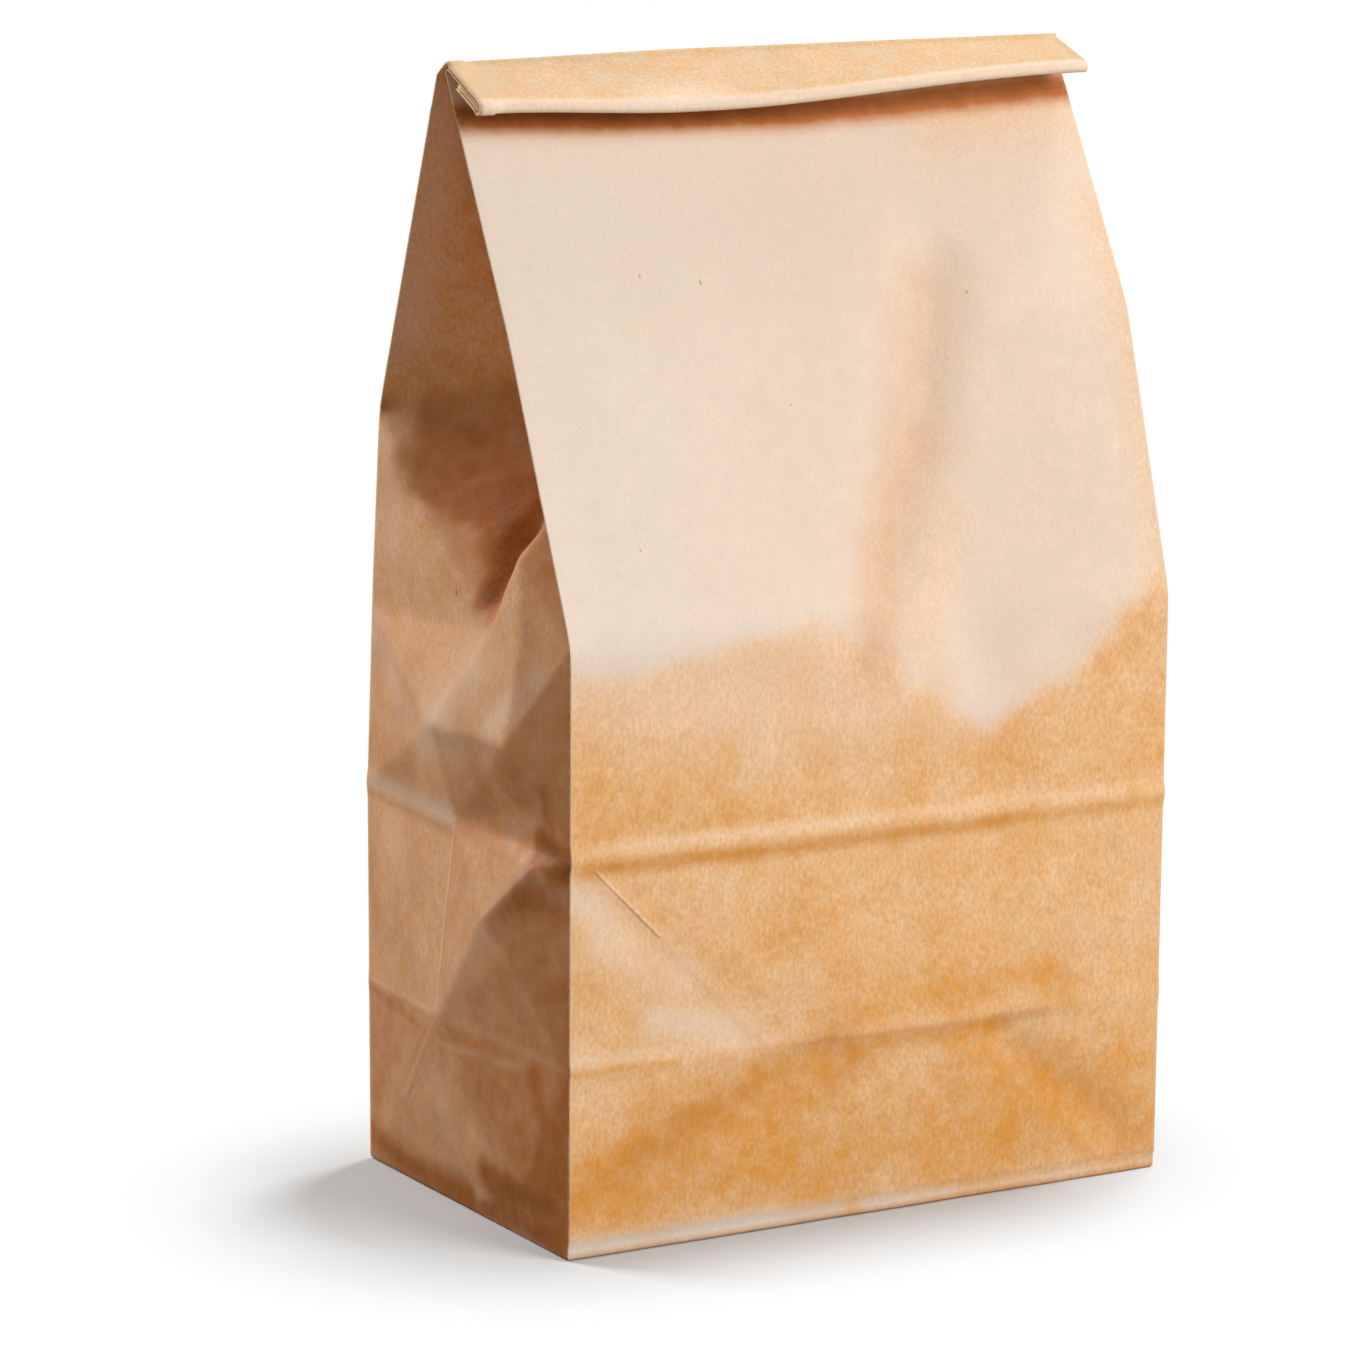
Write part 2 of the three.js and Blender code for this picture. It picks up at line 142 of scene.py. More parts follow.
# Share of the way from the upright panel to the roll that each edge has gone at a height
FRONT_LEFT_LEAN = [(0, 0), (FRONT_BEND, 0.01), (MIDDLE_BEND, 0.5)]
FRONT_RIGHT_LEAN = [(0, 0), (FRONT_BEND, 0), (MIDDLE_BEND, 0.375)]
BACK_LEAN = [(0, 0), (UPPER_CREASE, -0.035), (FRONT_BEND, 0.05), (BACK_BEND, 0.16)]

# The front is pale above the first line, half so above the second: a painted sheen of the light on
# its leaning upper part. Painted shade darkens it again along a few soft lines, and the painted
# sheen fades a little towards the right.
TIDE_LINE = [(-76, 129), (-62, 125), (-44, 131), (-15, 133), (-8, 129), (10, 119), (28, 106),
             (34, 109), (54, 119), (76, 138)]
TIDE_WIDTH = 8
LOW_TIDE_LINE = [(-76, 115), (-55, 111), (-32, 104), (-8, 100), (11, 102), (28, 102), (36, 110),
                 (76, 134)]
LOW_TIDE_WIDTH = 20
LOW_TIDE_SHARE = 0.4
SHADED_LINES = [
    ((27, 200), (20, 168), 10, 0.25),
    ((20, 168), (8, 146), 10, 0.35),
    ((8, 146), (0, 126), 9, 0.4),
    ((24, 152), (13, 126), 7, 0.35),
    ((40, 236), (70, 236), 9, 0.35),
    ((76, 120), (76, 215), 6, 0.4),
]
RIGHT_PALENESS = 0.88
PALE_ELSEWHERE = 0.12

# The roll's flap is tan, with a painted highlight along its rounded lip and one on a bulge
FLAP_PALE = 0.1
LIP_HIGHLIGHT = 0.75
FLAP_HIGHLIGHT = (-26, 13, 0.45)

# Painted highlights on the front below its tide line, where it faces the light: beside the notch,
# above the creases and at the foot
HIGHLIGHT_SHARE = 0.75
FRONT_HIGHLIGHTS = [
    ((-74, 80), (-67, 72), 5, 0.7),
    ((-66, 68), (-50, 59), 7, 0.65),
    ((-54, 51), (-34, 46), 5, 0.75),
    ((-70, 89.6), (-5, 89.4), 1.5, 0.5),
    ((-5, 89.4), (60, 89.6), 1.3, 0.35),
    ((-76, 43.8), (-25, 43.4), 1.8, 0.4),
    ((-75, 2.6), (-8, 2.6), 2.4, 1.4),
    ((-2, 2.4), (22, 2.2), 1.8, 1.0),
    ((22, 2.2), (74, 2.4), 1.4, 0.6),
    ((-75.5, 78), (-70, 76), 1.8, 0.9),
]

# Where the front is darkened: painted shade along its lower valleys and under its creases, stains in
# a few patches, and a darker, more orange tone towards its foot
FOOT_DARKENING = 0.6
FRONT_STAINS_AND_SHADE = [
    ((-66, 15), (-55, 22), 7, 0.6),
    ((-55, 22), (-30, 32), 8, 0.7),
    ((-30, 32), (-4, 38.5), 6, 0.6),
    ((-6, 39.4), (34, 39), 2.4, 0.6),
    ((38, 31), (52, 20), 5, 0.55),
    ((52, 20), (74, 7), 4, 0.45),
    ((20, 10), (34, 9), 8, 0.4),
    ((-36, 16), (-28, 16), 8, 0.3),
    ((-72, 85.2), (-20, 84.8), 1.9, 0.9),
    ((-20, 84.8), (34, 85.2), 1.6, 0.8),
    ((34, 85.2), (76, 85.6), 1.4, 0.5),
    ((-76, 41.4), (-50, 41.2), 0.9, 0.8),
    ((-66, 101), (-42, 100), 7, 0.2),
    ((-31, 68), (-27, 66), 6, 0.35),
    ((-8, 52), (12, 50), 7, 0.35),
    ((-70, 94), (-25, 93), 5, 0.4),
    ((-60, 76), (-30, 56), 5, 0.3),
    ((-5, 48), (45, 50), 6, 0.65),
    ((36, 27), (72, 10), 9, 0.4),
]

# Where the lip of the roll's flap comes before the front. The flap's painted shadow makes the paper
# dark close under this line and darker down to some way under it.
LIP_LINE = [(-76, 240.6), (-42, 239.3), (2, 238.9), (33, 240.1), (76, 242.6)]
LIP_SHADE = 1.5
LIP_SHADE_BELOW = 1
LIP_SHADE_REACH = 2.8
LIP_SHADOW_START = 1
LIP_SHADOW_END = 7

# Painted shade on the front: in its upper valley, broadly beside it, in its folds at the foot, under
# its creases and along its lowest edge
FRONT_SHADES = [
    ((18, 196), (16, 178), 8, 0.15),
    ((16, 178), (10, 157), 8, 0.2),
    ((10, 157), (7, 136), 8, 0.2),
    ((27, 200), (20, 168), 9, 0.2),
    ((20, 168), (8, 146), 9, 0.28),
    ((8, 146), (0, 126), 8, 0.28),
    ((45, 140), (40, 235), 30, 0.08),
    ((-20, 150), (5, 215), 28, 0.08),
    ((-20, 41), (45, 40.6), 1.2, 0.4),
    ((-76, 0.3), (76, 0.3), 0.7, 0.5),
    ((-71, 12), (-55, 22), 8, 0.2),
    ((-55, 22), (-30, 32), 8, 0.22),
    ((-30, 32), (-4, 38.5), 6, 0.22),
    ((-6, 39.4), (34, 39), 2.4, 0.22),
    ((38, 31), (74, 7), 6, 0.15),
    ((-72, 85), (34, 85), 1.7, 0.2),
]

# Painted highlights on the left side: on the ridges of its folds, which face the light. Its top,
# deep in the fold, has painted shade, apart from the strip along its back edge, which has a painted
# highlight too.
TOP_SHADE = 0.5
EDGE_HIGHLIGHT = 0.3
EDGE_STRIP = 0.72
LEFT_HIGHLIGHTS = [
    ((-10, 126), (5, 108), 9, 0.6),
    ((12, 103), (-7, 106), 5, 0.55),
    ((44, 123), (21, 108), 6, 0.5),
    ((38, 172), (26, 170), 3, 0.5),
    ((-17, 109), (-35, 126), 5, 0.55),
    ((45, 88), (5, 88), 4, 0.65),
    ((33, 81), (28, 73), 7, 0.35),
    ((-27, 73), (2, 46), 5, 0.45),
    ((-2, 60), (10, 44), 4, 0.2),
    ((-31, 103), (-35, 97), 2.5, 0.6),
    ((-21, 89), (-31, 94), 2.5, 0.5),
    ((-33, 82), (-41, 78), 3, 0.7),
    ((18, 35), (36, 14), 3, 0.4),
    ((7, 29), (1, 11), 4, 0.3),
    ((-23, 3), (-39, 0), 3, 0.6),
    ((38, 165), (35, 144), 6, 0.45),
]

# Painted shade on the left side: in its folds and dents, under its creases and at its foot. As for
# its facets' painted shade, 1 is the colour of shade in a fold and 2 is the colour deep in a fold.
LEFT_SHADES = [
    ((-46, 0), (-46, 60), 9, 0.9),
    ((-46, 60), (-46, 150), 3, 0.8),
    ((-42, 79), (-38, 102), 5, 0.9),
    ((-24, 70.5), (-45, 74.5), 2.2, 0.9),
    ((-29, 75), (-40, 79), 3.5, 0.9),
    ((-10, 34), (-24, 14), 8, 0.5),
    ((-26, 36), (-34, 16), 10, 0.75),
    ((27, 157), (15, 152), 3, 0.9),
    ((33, 163), (28, 158), 4, 0.5),
    ((20, 160), (10, 157), 6, 0.9),
    ((10, 157), (4, 150), 4.5, 1.6),
    ((6, 150), (1, 145), 3.5, 1.6),
    ((1.5, 148), (-3.8, 137), 2.6, 1.8),
    ((46, 96), (24, 95), 8, 0.35),
    ((-12, 97), (-25, 97), 4, 0.5),
    ((0, 87), (-27, 86), 2.5, 0.5),
    ((-36, 89), (-44, 86), 5, 1.7),
    ((2, 39), (-32, 40), 1.5, 0.6),
    ((-24, 58), (-37, 45), 10, 0.6),
    ((46, 6), (20, 3), 5, 1.0),
    ((20, 3), (-2, 3), 5, 1.1),
    ((-14, 11), (-40, 11), 5, 1.4),
    ((-33, 38), (-38, 28), 6, 0.95),
    ((46, 37), (38, 25), 5, 0.25),
    ((46, 5), (40, 3), 3, 0.9),
    ((46, 69), (41, 55), 6, 0.35),
    ((43, 176), (41, 174), 3, 0.9),
    ((46, 40), (14, 39), 1.8, 0.8),
    ((46, 85.4), (4, 84.6), 1.4, 0.5),
    ((3, 30), (3.5, 40), 1, 0.3),
]

# Thin creases: the paper is worn pale along them and they stand proud
FRONT_CREASES = [
    ((-69.5, 84.5), (-54, 69), 0.7, 1.0),
    ((-54, 69), (-31, 45.5), 2, 0.2),
]
LEFT_CREASES = [
    ((3.7, 43.6), (2.7, 87.4), 1.0, 0.6),
    ((3.7, 43.6), (46, 41.6), 1.6, 0.5),
    ((2.7, 87.4), (46, 88.6), 2.4, 0.7),
    ((3.7, 43.6), (24, 20), 1.4, 0.3),
    ((-18.4, 70.4), (-35.2, 84.6), 1.2, 0.5),
    ((6.1, 108.5), (-26.9, 109.9), 1.8, 0.35),
    ((-26.9, 109.9), (-45.1, 133), 1.8, 0.35),
    ((6.1, 108.5), (45, 127), 1.8, 0.3),
    ((3.7, 43.6), (-45.8, 41.6), 2, 0.25),
    ((3.3, 37.6), (-28, 38.4), 2.2, 0.45),
]

# Tiny dark specks in the paper, as very short lines
FRONT_SPECKS = [
    ((-42, 206), (-42, 206.3), 0.45, 0.6),
    ((-28, 204), (-28, 204.5), 0.45, 0.7),
    ((37, 199), (37.3, 199.3), 0.45, 0.6),
    ((-12, 178), (-11.7, 178.2), 0.4, 0.4),
    ((-55, 151), (-55, 151.4), 0.4, 0.5),
]
LEFT_SPECKS = [
    ((5.4, 136.4), (5.4, 137.4), 0.6, 1.0),
]

# Colours of the paper, linear, with those of its painted sheen and shade
TAN_DEEP = (0.79, 0.475, 0.24, 1)
TAN_LIGHT = (0.87, 0.575, 0.335, 1)
CREAM_PAPER = (0.80, 0.60, 0.43, 1)
PALE_PAPER = (0.72, 0.616, 0.517, 1)
RUDDY_SHADE_PAPER = (0.815, 0.461, 0.287, 1)
STAIN_AND_SHADE_PAPER = (0.74, 0.315, 0.055, 1)
SPECKED_PAPER = (0.42, 0.20, 0.04, 1)
FLAP_PAPER = (0.52, 0.42, 0.27, 1)
SHADE_AND_SPECK_PAPER = (0.42, 0.12, 0.022, 1)
DEEPEST_SHADE_PAPER = (0.16, 0.04, 0.008, 1)
WORN_PAPER = (0.85, 0.68, 0.50, 1)
# How far the left side, which lies in shade, is painted with the redder colour of kraft in shade
LEFT_SHADE_RUDDINESS = 0.85
ROLL_DULLNESS = 0.8

# The paper's patterns, from broad clouds to single fibres, as waves to a metre, and how strongly
# two of them colour it
CLOUD_SCALE = 45
MOTTLE_SCALE = 230
GRAIN_SCALE = 1300
FIBRE_SCALE = 2400
MOTTLE_SHARE = 0.48
GRAIN_SHARE = 0.42
GLOSS = 0.25

# The floor's tone for its light on the bag and for the camera. It is a pale sheet near a soft line
# under the bag and turns white away from there. It reaches some metres each way.
FLOOR_REACH = 4.0
FLOOR_TONE = 0.25
SHEET_TONE = (0.62, 0.64, 0.65, 1)
SHEET_LINE = ((-60, 0), (20, 0), 97, 2.0)

# The room's light on the bag, at its own level and from overhead
ROOM_LEVEL = 0.07
ROOM_OVERHEAD = 0.25

# The lamps: name, direction from the bag's middle, distance and size in metres, power, colour
LAMP_TARGET = (0, 0, 0.13)
LAMPS = [
    ("front_softbox", (0.45, -0.82, 0.38), 1.6, 0.9, 27, (1, 1, 1)),
    ("fill_softbox", (-0.65, -0.7, 0.3), 1.6, 0.9, 2.5, (1, 1, 1)),
    ("top_softbox", (0.40, 0.24, 0.89), 1.3, 0.25, 7.5, (1, 1, 1)),
    ("left_softbox", (-0.5, 0.66, 0.56), 1.5, 0.5, 19, (1, 0.98, 0.96)),
]

# The camera's azimuth, elevation and roll in degrees, the bag's middle, how far to the left of it
# and below it the camera looks, and its distance and lens
CAMERA_TURN = (-30.427, 10.988, 0.513)
BAG_MIDDLE = (0, 0, 130)
LOOKED_LEFT = 20.265
LOOKED_BELOW = 17.388
CAMERA_DISTANCE = 1235.2
CAMERA_LENS = 147.53
SENSOR_WIDTH = 36

# Fineness of the mesh, and over how many rows and columns its folds are softened
ROW_STEP = 1.15
FRONT_COLUMNS = 116
BACK_COLUMNS = 56
LEFT_COLUMNS = 92
RIGHT_COLUMNS = 36
RISING_ROWS = 8
RIDGE_STEPS = 9
FLAP_STEPS = 13
DROOP_STEPS = 6
LIP_STEPS = 8
TURNED_STEPS = 6
GUSSET_SOFTNESS = (0.8, 0.8)
PANEL_SOFTNESS = (2.2, 2.2)
TONE_SOFTNESS = (0.9, 0.9)

# The blocks of columns round the bag that have a colouring of their own
FRONT_BLOCK = 0
LEFT_BLOCK = 4


def lerp(a, b, t):
    return a + (b - a) * t


def smooth(t):
    t = np.clip(t, 0, 1)
    return t * t * (3 - 2 * t)


def tent(distance, reach):
    return np.maximum(0, 1 - np.abs(distance) / reach)


def bell(distance, reach):
    return np.exp(-((distance / reach) ** 2))


def crowded(count):
    """Places from -1 to 1, evenly apart but with two more close to each end."""
    inner = np.linspace(-1, 1, count + 1)
    near = np.array([0.004, 0.01])
    return np.concatenate([[-1], near - 1, inner[1:-1], 1 - near[::-1], [1]])


def through(points, at):
    places, values = zip(*points)
    return np.interp(at, places, values)


def from_line(x, z, start, end):
    """Distance of each place from a straight line between two places."""
    run_x, run_z = end[0] - start[0], end[1] - start[1]
    share = ((x - start[0]) * run_x + (z - start[1]) * run_z) / (run_x**2 + run_z**2)
    share = np.clip(share, 0, 1)
    return np.hypot(x - start[0] - share * run_x, z - start[1] - share * run_z)


def along_lines(x, z, lines):
    """The strongest of several soft lines."""
    return np.maximum.reduce([strength * bell(from_line(x, z, start, end), width)
                              for start, end, width, strength in lines])


def soften(field, reach):
    """Blurs a grid over a few rows and columns, and leaves its borders where they are."""
    for axis, sigma in enumerate(reach):
        if sigma <= 0:
            continue
        taps = int(math.ceil(3 * sigma))
        weights = np.exp(-0.5 * (np.arange(-taps, taps + 1) / sigma) ** 2)
        weights /= weights.sum()
        widths = [(taps, taps) if a == axis else (0, 0) for a in range(2)]
        padded = np.pad(field, widths, mode="reflect", reflect_type="odd")
        size = field.shape[axis]
        parts = [np.take(padded, range(i, i + size), axis) * w for i, w in enumerate(weights)]
        field = sum(parts)
    return field


def rumple(u, v, size, seed):
    """Smooth random waves of about the given size, between -1 and 1."""
    u, v = np.broadcast_arrays(u, v)
    places = zip((u / size).ravel(), (v / size).ravel())
    waves = [noise.noise(Vector((a, b, seed))) for a, b in places]
    return np.array(waves).reshape(u.shape)


def waves_at(u, v, waves, moved=0):
    """Several waves on each other, with their seeds moved by the same step."""
    return sum(height * rumple(u, v, size, seed + moved) for height, size, seed in waves)


# The roll's shape

def roll_at(x):
    across = np.clip(x, -HALF_WIDTH, HALF_WIDTH)
    left, middle, right = ROLL_X
    eased = (left + (middle - left) * smooth((across - left) / (middle - left))
             + (right - middle) * smooth((across - middle) / (right - middle)))
    y = np.interp(across, ROLL_X, ROLL_Y)
    z = np.interp(across, ROLL_X, ROLL_Z)
    fall = np.radians(np.interp(eased, ROLL_X, ROLL_FALL))
    run = np.interp(eased, ROLL_X, ROLL_RUN)
    return y, z, fall, run


def front_top(x):
    y, z, _, _ = roll_at(x)
    heading = math.radians(PANEL_HEADING)
    return y + RIDGE_BEND * math.cos(heading), z + RIDGE_BEND * math.sin(heading)


def back_top(x):
    y, z, _, _ = roll_at(x)
    return y + OUTER_PLY[0][0], z + OUTER_PLY[0][1]


def outer_ply(share):
    """The outer ply's crease over the ridge, from the panel at 0 to the flap at 1."""
    steps = np.linspace(0, 1, len(OUTER_PLY) + 1)[:-1]
    back = np.interp(share, steps, [place[0] for place in OUTER_PLY])
    up = np.interp(share, steps, [place[1] for place in OUTER_PLY])
    return back, up


def roll_pairs(x):
    """Arrays of (inner y, inner z, outer y, outer z), one for each ring of the roll."""
    y, z, fall, run = roll_at(x)
    pairs = []
    normal = math.pi / 2 + fall
    start = math.radians(PANEL_HEADING)
    last_corner = 1 - 1 / len(OUTER_PLY)
    for i in range(RIDGE_STEPS):
        share = i / RIDGE_STEPS
        angle = lerp(start, normal, share)
        inner_y = y + RIDGE_BEND * np.cos(angle)
        inner_z = z + RIDGE_BEND * np.sin(angle)
        corner = min(share, last_corner)
        back, up = outer_ply(corner)
        outer_y, outer_z = y + back, z + up
        if share > last_corner:
            rest = (share - last_corner) / (1 - last_corner)
            flap_y = y + (RIDGE_BEND + STACK) * np.cos(normal)
            flap_z = z + (RIDGE_BEND + STACK) * np.sin(normal)
            outer_y, outer_z = lerp(outer_y, flap_y, rest), lerp(outer_z, flap_z, rest)
        pairs.append((inner_y, inner_z, outer_y, outer_z))

    path = [(y + RIDGE_BEND * np.cos(normal), z + RIDGE_BEND * np.sin(normal), fall)]
    droop = math.radians(LIP_DROOP) / DROOP_STEPS
    chord = 2 * LIP_RADIUS * math.sin(droop / 2)
    moves = [(run / FLAP_STEPS, 0)] * FLAP_STEPS + [(chord, droop)] * DROOP_STEPS
    for length, turn in moves:
        at_y, at_z, at_fall = path[-1]
        heading = at_fall + turn / 2
        path.append((at_y - length * np.cos(heading), at_z - length * np.sin(heading),
                     at_fall + turn))

    def off(at, distance):
        return at[0] - distance * np.sin(at[2]), at[1] + distance * np.cos(at[2])

    for at in path:
        pairs.append((at[0], at[1], *off(at, STACK)))
    end_fall = path[-1][2]
    centre_y, centre_z = off(path[-1], -LIP_BEND)
    for i in range(1, LIP_STEPS):
        angle = math.pi / 2 + end_fall + math.pi * i / LIP_STEPS
        inner, outer = LIP_BEND, LIP_BEND + STACK
        pairs.append((centre_y + inner * np.cos(angle), centre_z + inner * np.sin(angle),
                      centre_y + outer * np.cos(angle), centre_z + outer * np.sin(angle)))

    def behind(at):
        return (*off(at, -2 * LIP_BEND), *off(at, -2 * LIP_BEND - STACK))

    for at in reversed(path[FLAP_STEPS:]):
        pairs.append(behind(at))
    straight = np.minimum(TURNED_UP - DROOP_STEPS * chord, run)
    at_y, at_z, at_fall = path[FLAP_STEPS]
    for i in range(1, TURNED_STEPS + 1):
        back = straight * i / TURNED_STEPS
        pairs.append(behind((at_y + back * np.cos(at_fall), at_z + back * np.sin(at_fall),
                             at_fall)))
    return pairs


# The two wide panels

def creases_proud(z):
    return CREASE_PROUD * (0.5 * tent(z - LOWER_CREASE, CREASE_REACH)
                           + tent(z - UPPER_CREASE, CREASE_REACH))


def pressed_in(x, z):
    reach = np.where(x < DENT_ACROSS, DENT_LEFT, HALF_WIDTH - DENT_ACROSS)
    wide = tent(x - DENT_ACROSS, reach)
    rising = (z - lerp(FRONT_BEND, DENT_FOOT, wide)) / (FRONT_BEND - DENT_FOOT)
    falling = (DENT_TOP - z) / (DENT_TOP - FRONT_BEND)
    return FRONT_DENT * wide * np.clip(np.minimum(rising, falling), 0, 1)


def in_valleys(x, z):
    def on_front(place):
        return place[0] * HALF_WIDTH, place[1] * LOWER_CREASE

    depths = [deep * bell(from_line(x, z, on_front(start), on_front(end)), reach * 0.5)
              for start, end, deep, reach in FRONT_VALLEYS]
    return np.maximum.reduce(depths)


def cushioned(x, z):
    from_edge = np.clip(1 - np.abs(x) / HALF_WIDTH, 0, 1)
    below = z / LOWER_CREASE
    above = (UPPER_CREASE - z) / (UPPER_CREASE - LOWER_CREASE)
    return FRONT_BULGE * np.clip(np.minimum(from_edge, np.minimum(below, above)), 0, 1)


def lean_of(points, top, z):
    """The lean at each place, where the last stretch ends at the roll's height there."""
    last_z, last_lean = points[-1]
    rest = (z - last_z) / (top - last_z)
    return np.where(z <= last_z, through(points, z), lerp(last_lean, 1, np.clip(rest, 0, 1)))


def front_panel(x, z):
    top_y, top_z = front_top(x)
    left = lean_of(FRONT_LEFT_LEAN, top_z, z)
    right = lean_of(FRONT_RIGHT_LEAN, top_z, z)
    lean = lerp(left, right, (x + HALF_WIDTH) / BAG_WIDTH)
    return lerp(-HALF_DEPTH, top_y, lean) + pressed_in(x, z) - cushioned(x, z)


def back_panel(x, z):
    top_y, top_z = back_top(x)
    return lerp(HALF_DEPTH, top_y, lean_of(BACK_LEAN, top_z, z))


def front_relief(x, z):
    """Fine creases and waves of the front, inwards."""
    fade = smooth((BODY_TOP - z) / 40)
    from_side = smooth((HALF_WIDTH - np.abs(x)) / 14)
    waves = waves_at(x, z, FRONT_WAVES)
    pinch = sum(along_lines(x, z, [fold]) for fold in PINCHED_FOLDS)
    strip = smooth((FOOT_STRIP_TOP - z) / (FOOT_STRIP_TOP - FOOT_STRIP_BOTTOM))
    return (waves * fade * from_side - pinch + along_lines(x, z, UPPER_VALLEY)
            + in_valleys(x, z) * from_side + FOOT_STRIP_STEP * strip - creases_proud(z))


def back_relief(x, z):
    fade = smooth((BODY_TOP - z) / 40) * smooth((HALF_WIDTH - np.abs(x)) / 14)
    return waves_at(x, z, BACK_WAVES) * fade + creases_proud(z)


# Rows up the body, and the two panels on them

level_count = math.ceil((BODY_TOP - BOTTOM_BEVEL) / ROW_STEP)
levels = np.concatenate([
    BEVEL_ROWS,
    np.linspace(BOTTOM_BEVEL, BODY_TOP, level_count + 1),
    np.full(RISING_ROWS, BODY_TOP),
])
rises = np.concatenate([
    np.zeros(len(levels) - RISING_ROWS),
    np.arange(1, RISING_ROWS + 1) / (RISING_ROWS + 1),
])
panel_x = crowded(FRONT_COLUMNS) * HALF_WIDTH
grid_x = panel_x[None, :]
row_level = levels[:, None]
row_rise = rises[:, None]
front_z = lerp(row_level, front_top(grid_x)[1], row_rise)
back_z = lerp(row_level, back_top(grid_x)[1], row_rise)
bevel_cut = BOTTOM_BEVEL - np.sqrt(
    BOTTOM_BEVEL**2 - np.clip(BOTTOM_BEVEL - row_level, 0, BOTTOM_BEVEL) ** 2)
front_y = soften(front_panel(grid_x, front_z), PANEL_SOFTNESS) + front_relief(grid_x, front_z)
front_y += bevel_cut
back_y = soften(back_panel(grid_x, back_z), PANEL_SOFTNESS) + back_relief(grid_x, back_z)
back_y -= bevel_cut


def on_panel(field, x):
    """Values of a panel's grid at other places of each row."""
    return np.array([np.interp(places, panel_x, row) for places, row in zip(x, field)])


def fold_depth(side, z):
    """Depth that a gusset folds in by, from how far apart its two edges are."""
    x = side * HALF_WIDTH
    apart = back_panel(x, z) - front_panel(x, z)
    return np.sqrt(np.maximum(0, HALF_DEPTH**2 - (apart / 2) ** 2))


# The gussets' creases

def crease_points(side):
    """Places where creases meet: place across from -1 to 1, height, depth folded in."""
    plain = {
        "frontFoot": (-1, BOTTOM_BEVEL, 0),
        "foot": (0, BOTTOM_BEVEL, 0),
        "backFoot": (1, BOTTOM_BEVEL, 0),
        "frontLower": (-1, LOWER_CREASE, 0),
        "lower": (0.06, LOWER_CREASE + 2, -LOWER_BULGE),
        "backLower": (1, LOWER_CREASE, 0),
        "frontUpper": (-1, UPPER_CREASE, 0),
        "upper": (0.03, UPPER_CREASE, -UPPER_BULGE),
        "backUpper": (1, UPPER_CREASE, 0),
        "point": (0.12, GUSSET_POINT, -POINT_BULGE),
        "frontOpen": (-1, FRONT_OPEN_HEIGHT, 0),
        "backOpen": (1, BACK_OPEN_HEIGHT, 0),
        "valleyHigh": (0, VALLEY_TOP, fold_depth(side, VALLEY_TOP)),
        "frontFolded": (-1, FOLDED_IN, 0),
        "folded": (0, FOLDED_IN, fold_depth(side, FOLDED_IN)),
        "backFolded": (1, FOLDED_IN, 0),
        "valleyLow": (-0.04, VALLEY_HEIGHT, 0.85 * fold_depth(side, VALLEY_HEIGHT)),
    }
    if side > 0:
        return plain
    return {
        **plain,
        "dentLow": (-0.67, 0.33 * LOWER_CREASE, -3),
        "dentSide": (-0.42, NOTCH_HEIGHT - 6, -6.3),
        "frontNotch": (-1, NOTCH_HEIGHT, 0),
        "dentHigh": (-0.78, UPPER_CREASE - 2.8, -4),
        "pucker": (-0.87, lerp(UPPER_CREASE, GUSSET_POINT, 0.55), -1.8),
        "shoulder": (-0.6, GUSSET_POINT + 1.4, -6),
        "frontBent": (-1, FRONT_BEND, 0),
        "kink": (-0.7, KINK_HEIGHT, -1.6),
        "valleyStart": (-0.2, lerp(GUSSET_POINT, VALLEY_HEIGHT, 0.58), 0.4),
        "slitEdge": (0.05, VALLEY_HEIGHT + 0.6, 10),
        "backStrip": (0.64, lerp(BACK_OPEN_HEIGHT, BACK_BEND, 0.62), 0.2),
        "backEdge": (1, BACK_BEND, 0),
        "pinch": (0.86, BACK_BEND + 3, 7),
    }


PLAIN_FACETS = [
    "frontFoot foot lower", "frontFoot lower frontLower", "foot backFoot lower",
    "backFoot backLower lower", "frontLower lower upper", "frontLower upper frontUpper",
    "lower backLower backUpper", "lower backUpper upper", "frontUpper upper point",
    "frontUpper point frontOpen", "upper backUpper point", "backUpper backOpen point",
    "point valleyLow frontOpen", "point backOpen valleyLow", "frontOpen valleyLow valleyHigh",
    "valleyLow backOpen valleyHigh", "frontOpen valleyHigh frontFolded",
    "frontFolded valleyHigh folded", "backOpen backFolded valleyHigh",
    "valleyHigh backFolded folded",
]

CRUMPLED_FACETS = [
    "frontFoot foot dentLow", "frontFoot dentLow frontLower", "foot lower dentLow",
    "dentLow lower frontLower", "foot backFoot lower", "backFoot backLower lower",
    "frontLower lower dentSide", "frontLower dentSide frontNotch", "lower upper dentSide",
    "dentSide upper dentHigh", "dentSide dentHigh frontNotch", "frontNotch dentHigh frontUpper",
    "upper frontUpper dentHigh", "lower backLower backUpper", "lower backUpper upper",
    "upper pucker frontUpper", "upper shoulder pucker", "pucker frontBent frontUpper",
    "pucker shoulder frontBent", "upper point shoulder", "upper backUpper point",
    "point backUpper backOpen", "point kink shoulder", "shoulder kink frontBent",
    "frontBent kink frontOpen", "point valleyStart kink", "kink valleyStart valleyLow",
    "kink valleyLow frontOpen", "frontOpen valleyLow valleyHigh",
    "frontOpen valleyHigh frontFolded", "frontFolded valleyHigh folded",
    "point backOpen valleyStart", "valleyStart backStrip slitEdge", "valleyStart slitEdge valleyLow",
    "valleyStart backOpen backStrip", "slitEdge backStrip valleyHigh",
    "slitEdge valleyHigh valleyLow",
    "backStrip backOpen backEdge", "valleyHigh backStrip pinch", "backStrip backEdge pinch",
    "valleyHigh pinch folded", "pinch backEdge backFolded", "pinch backFolded folded",
]


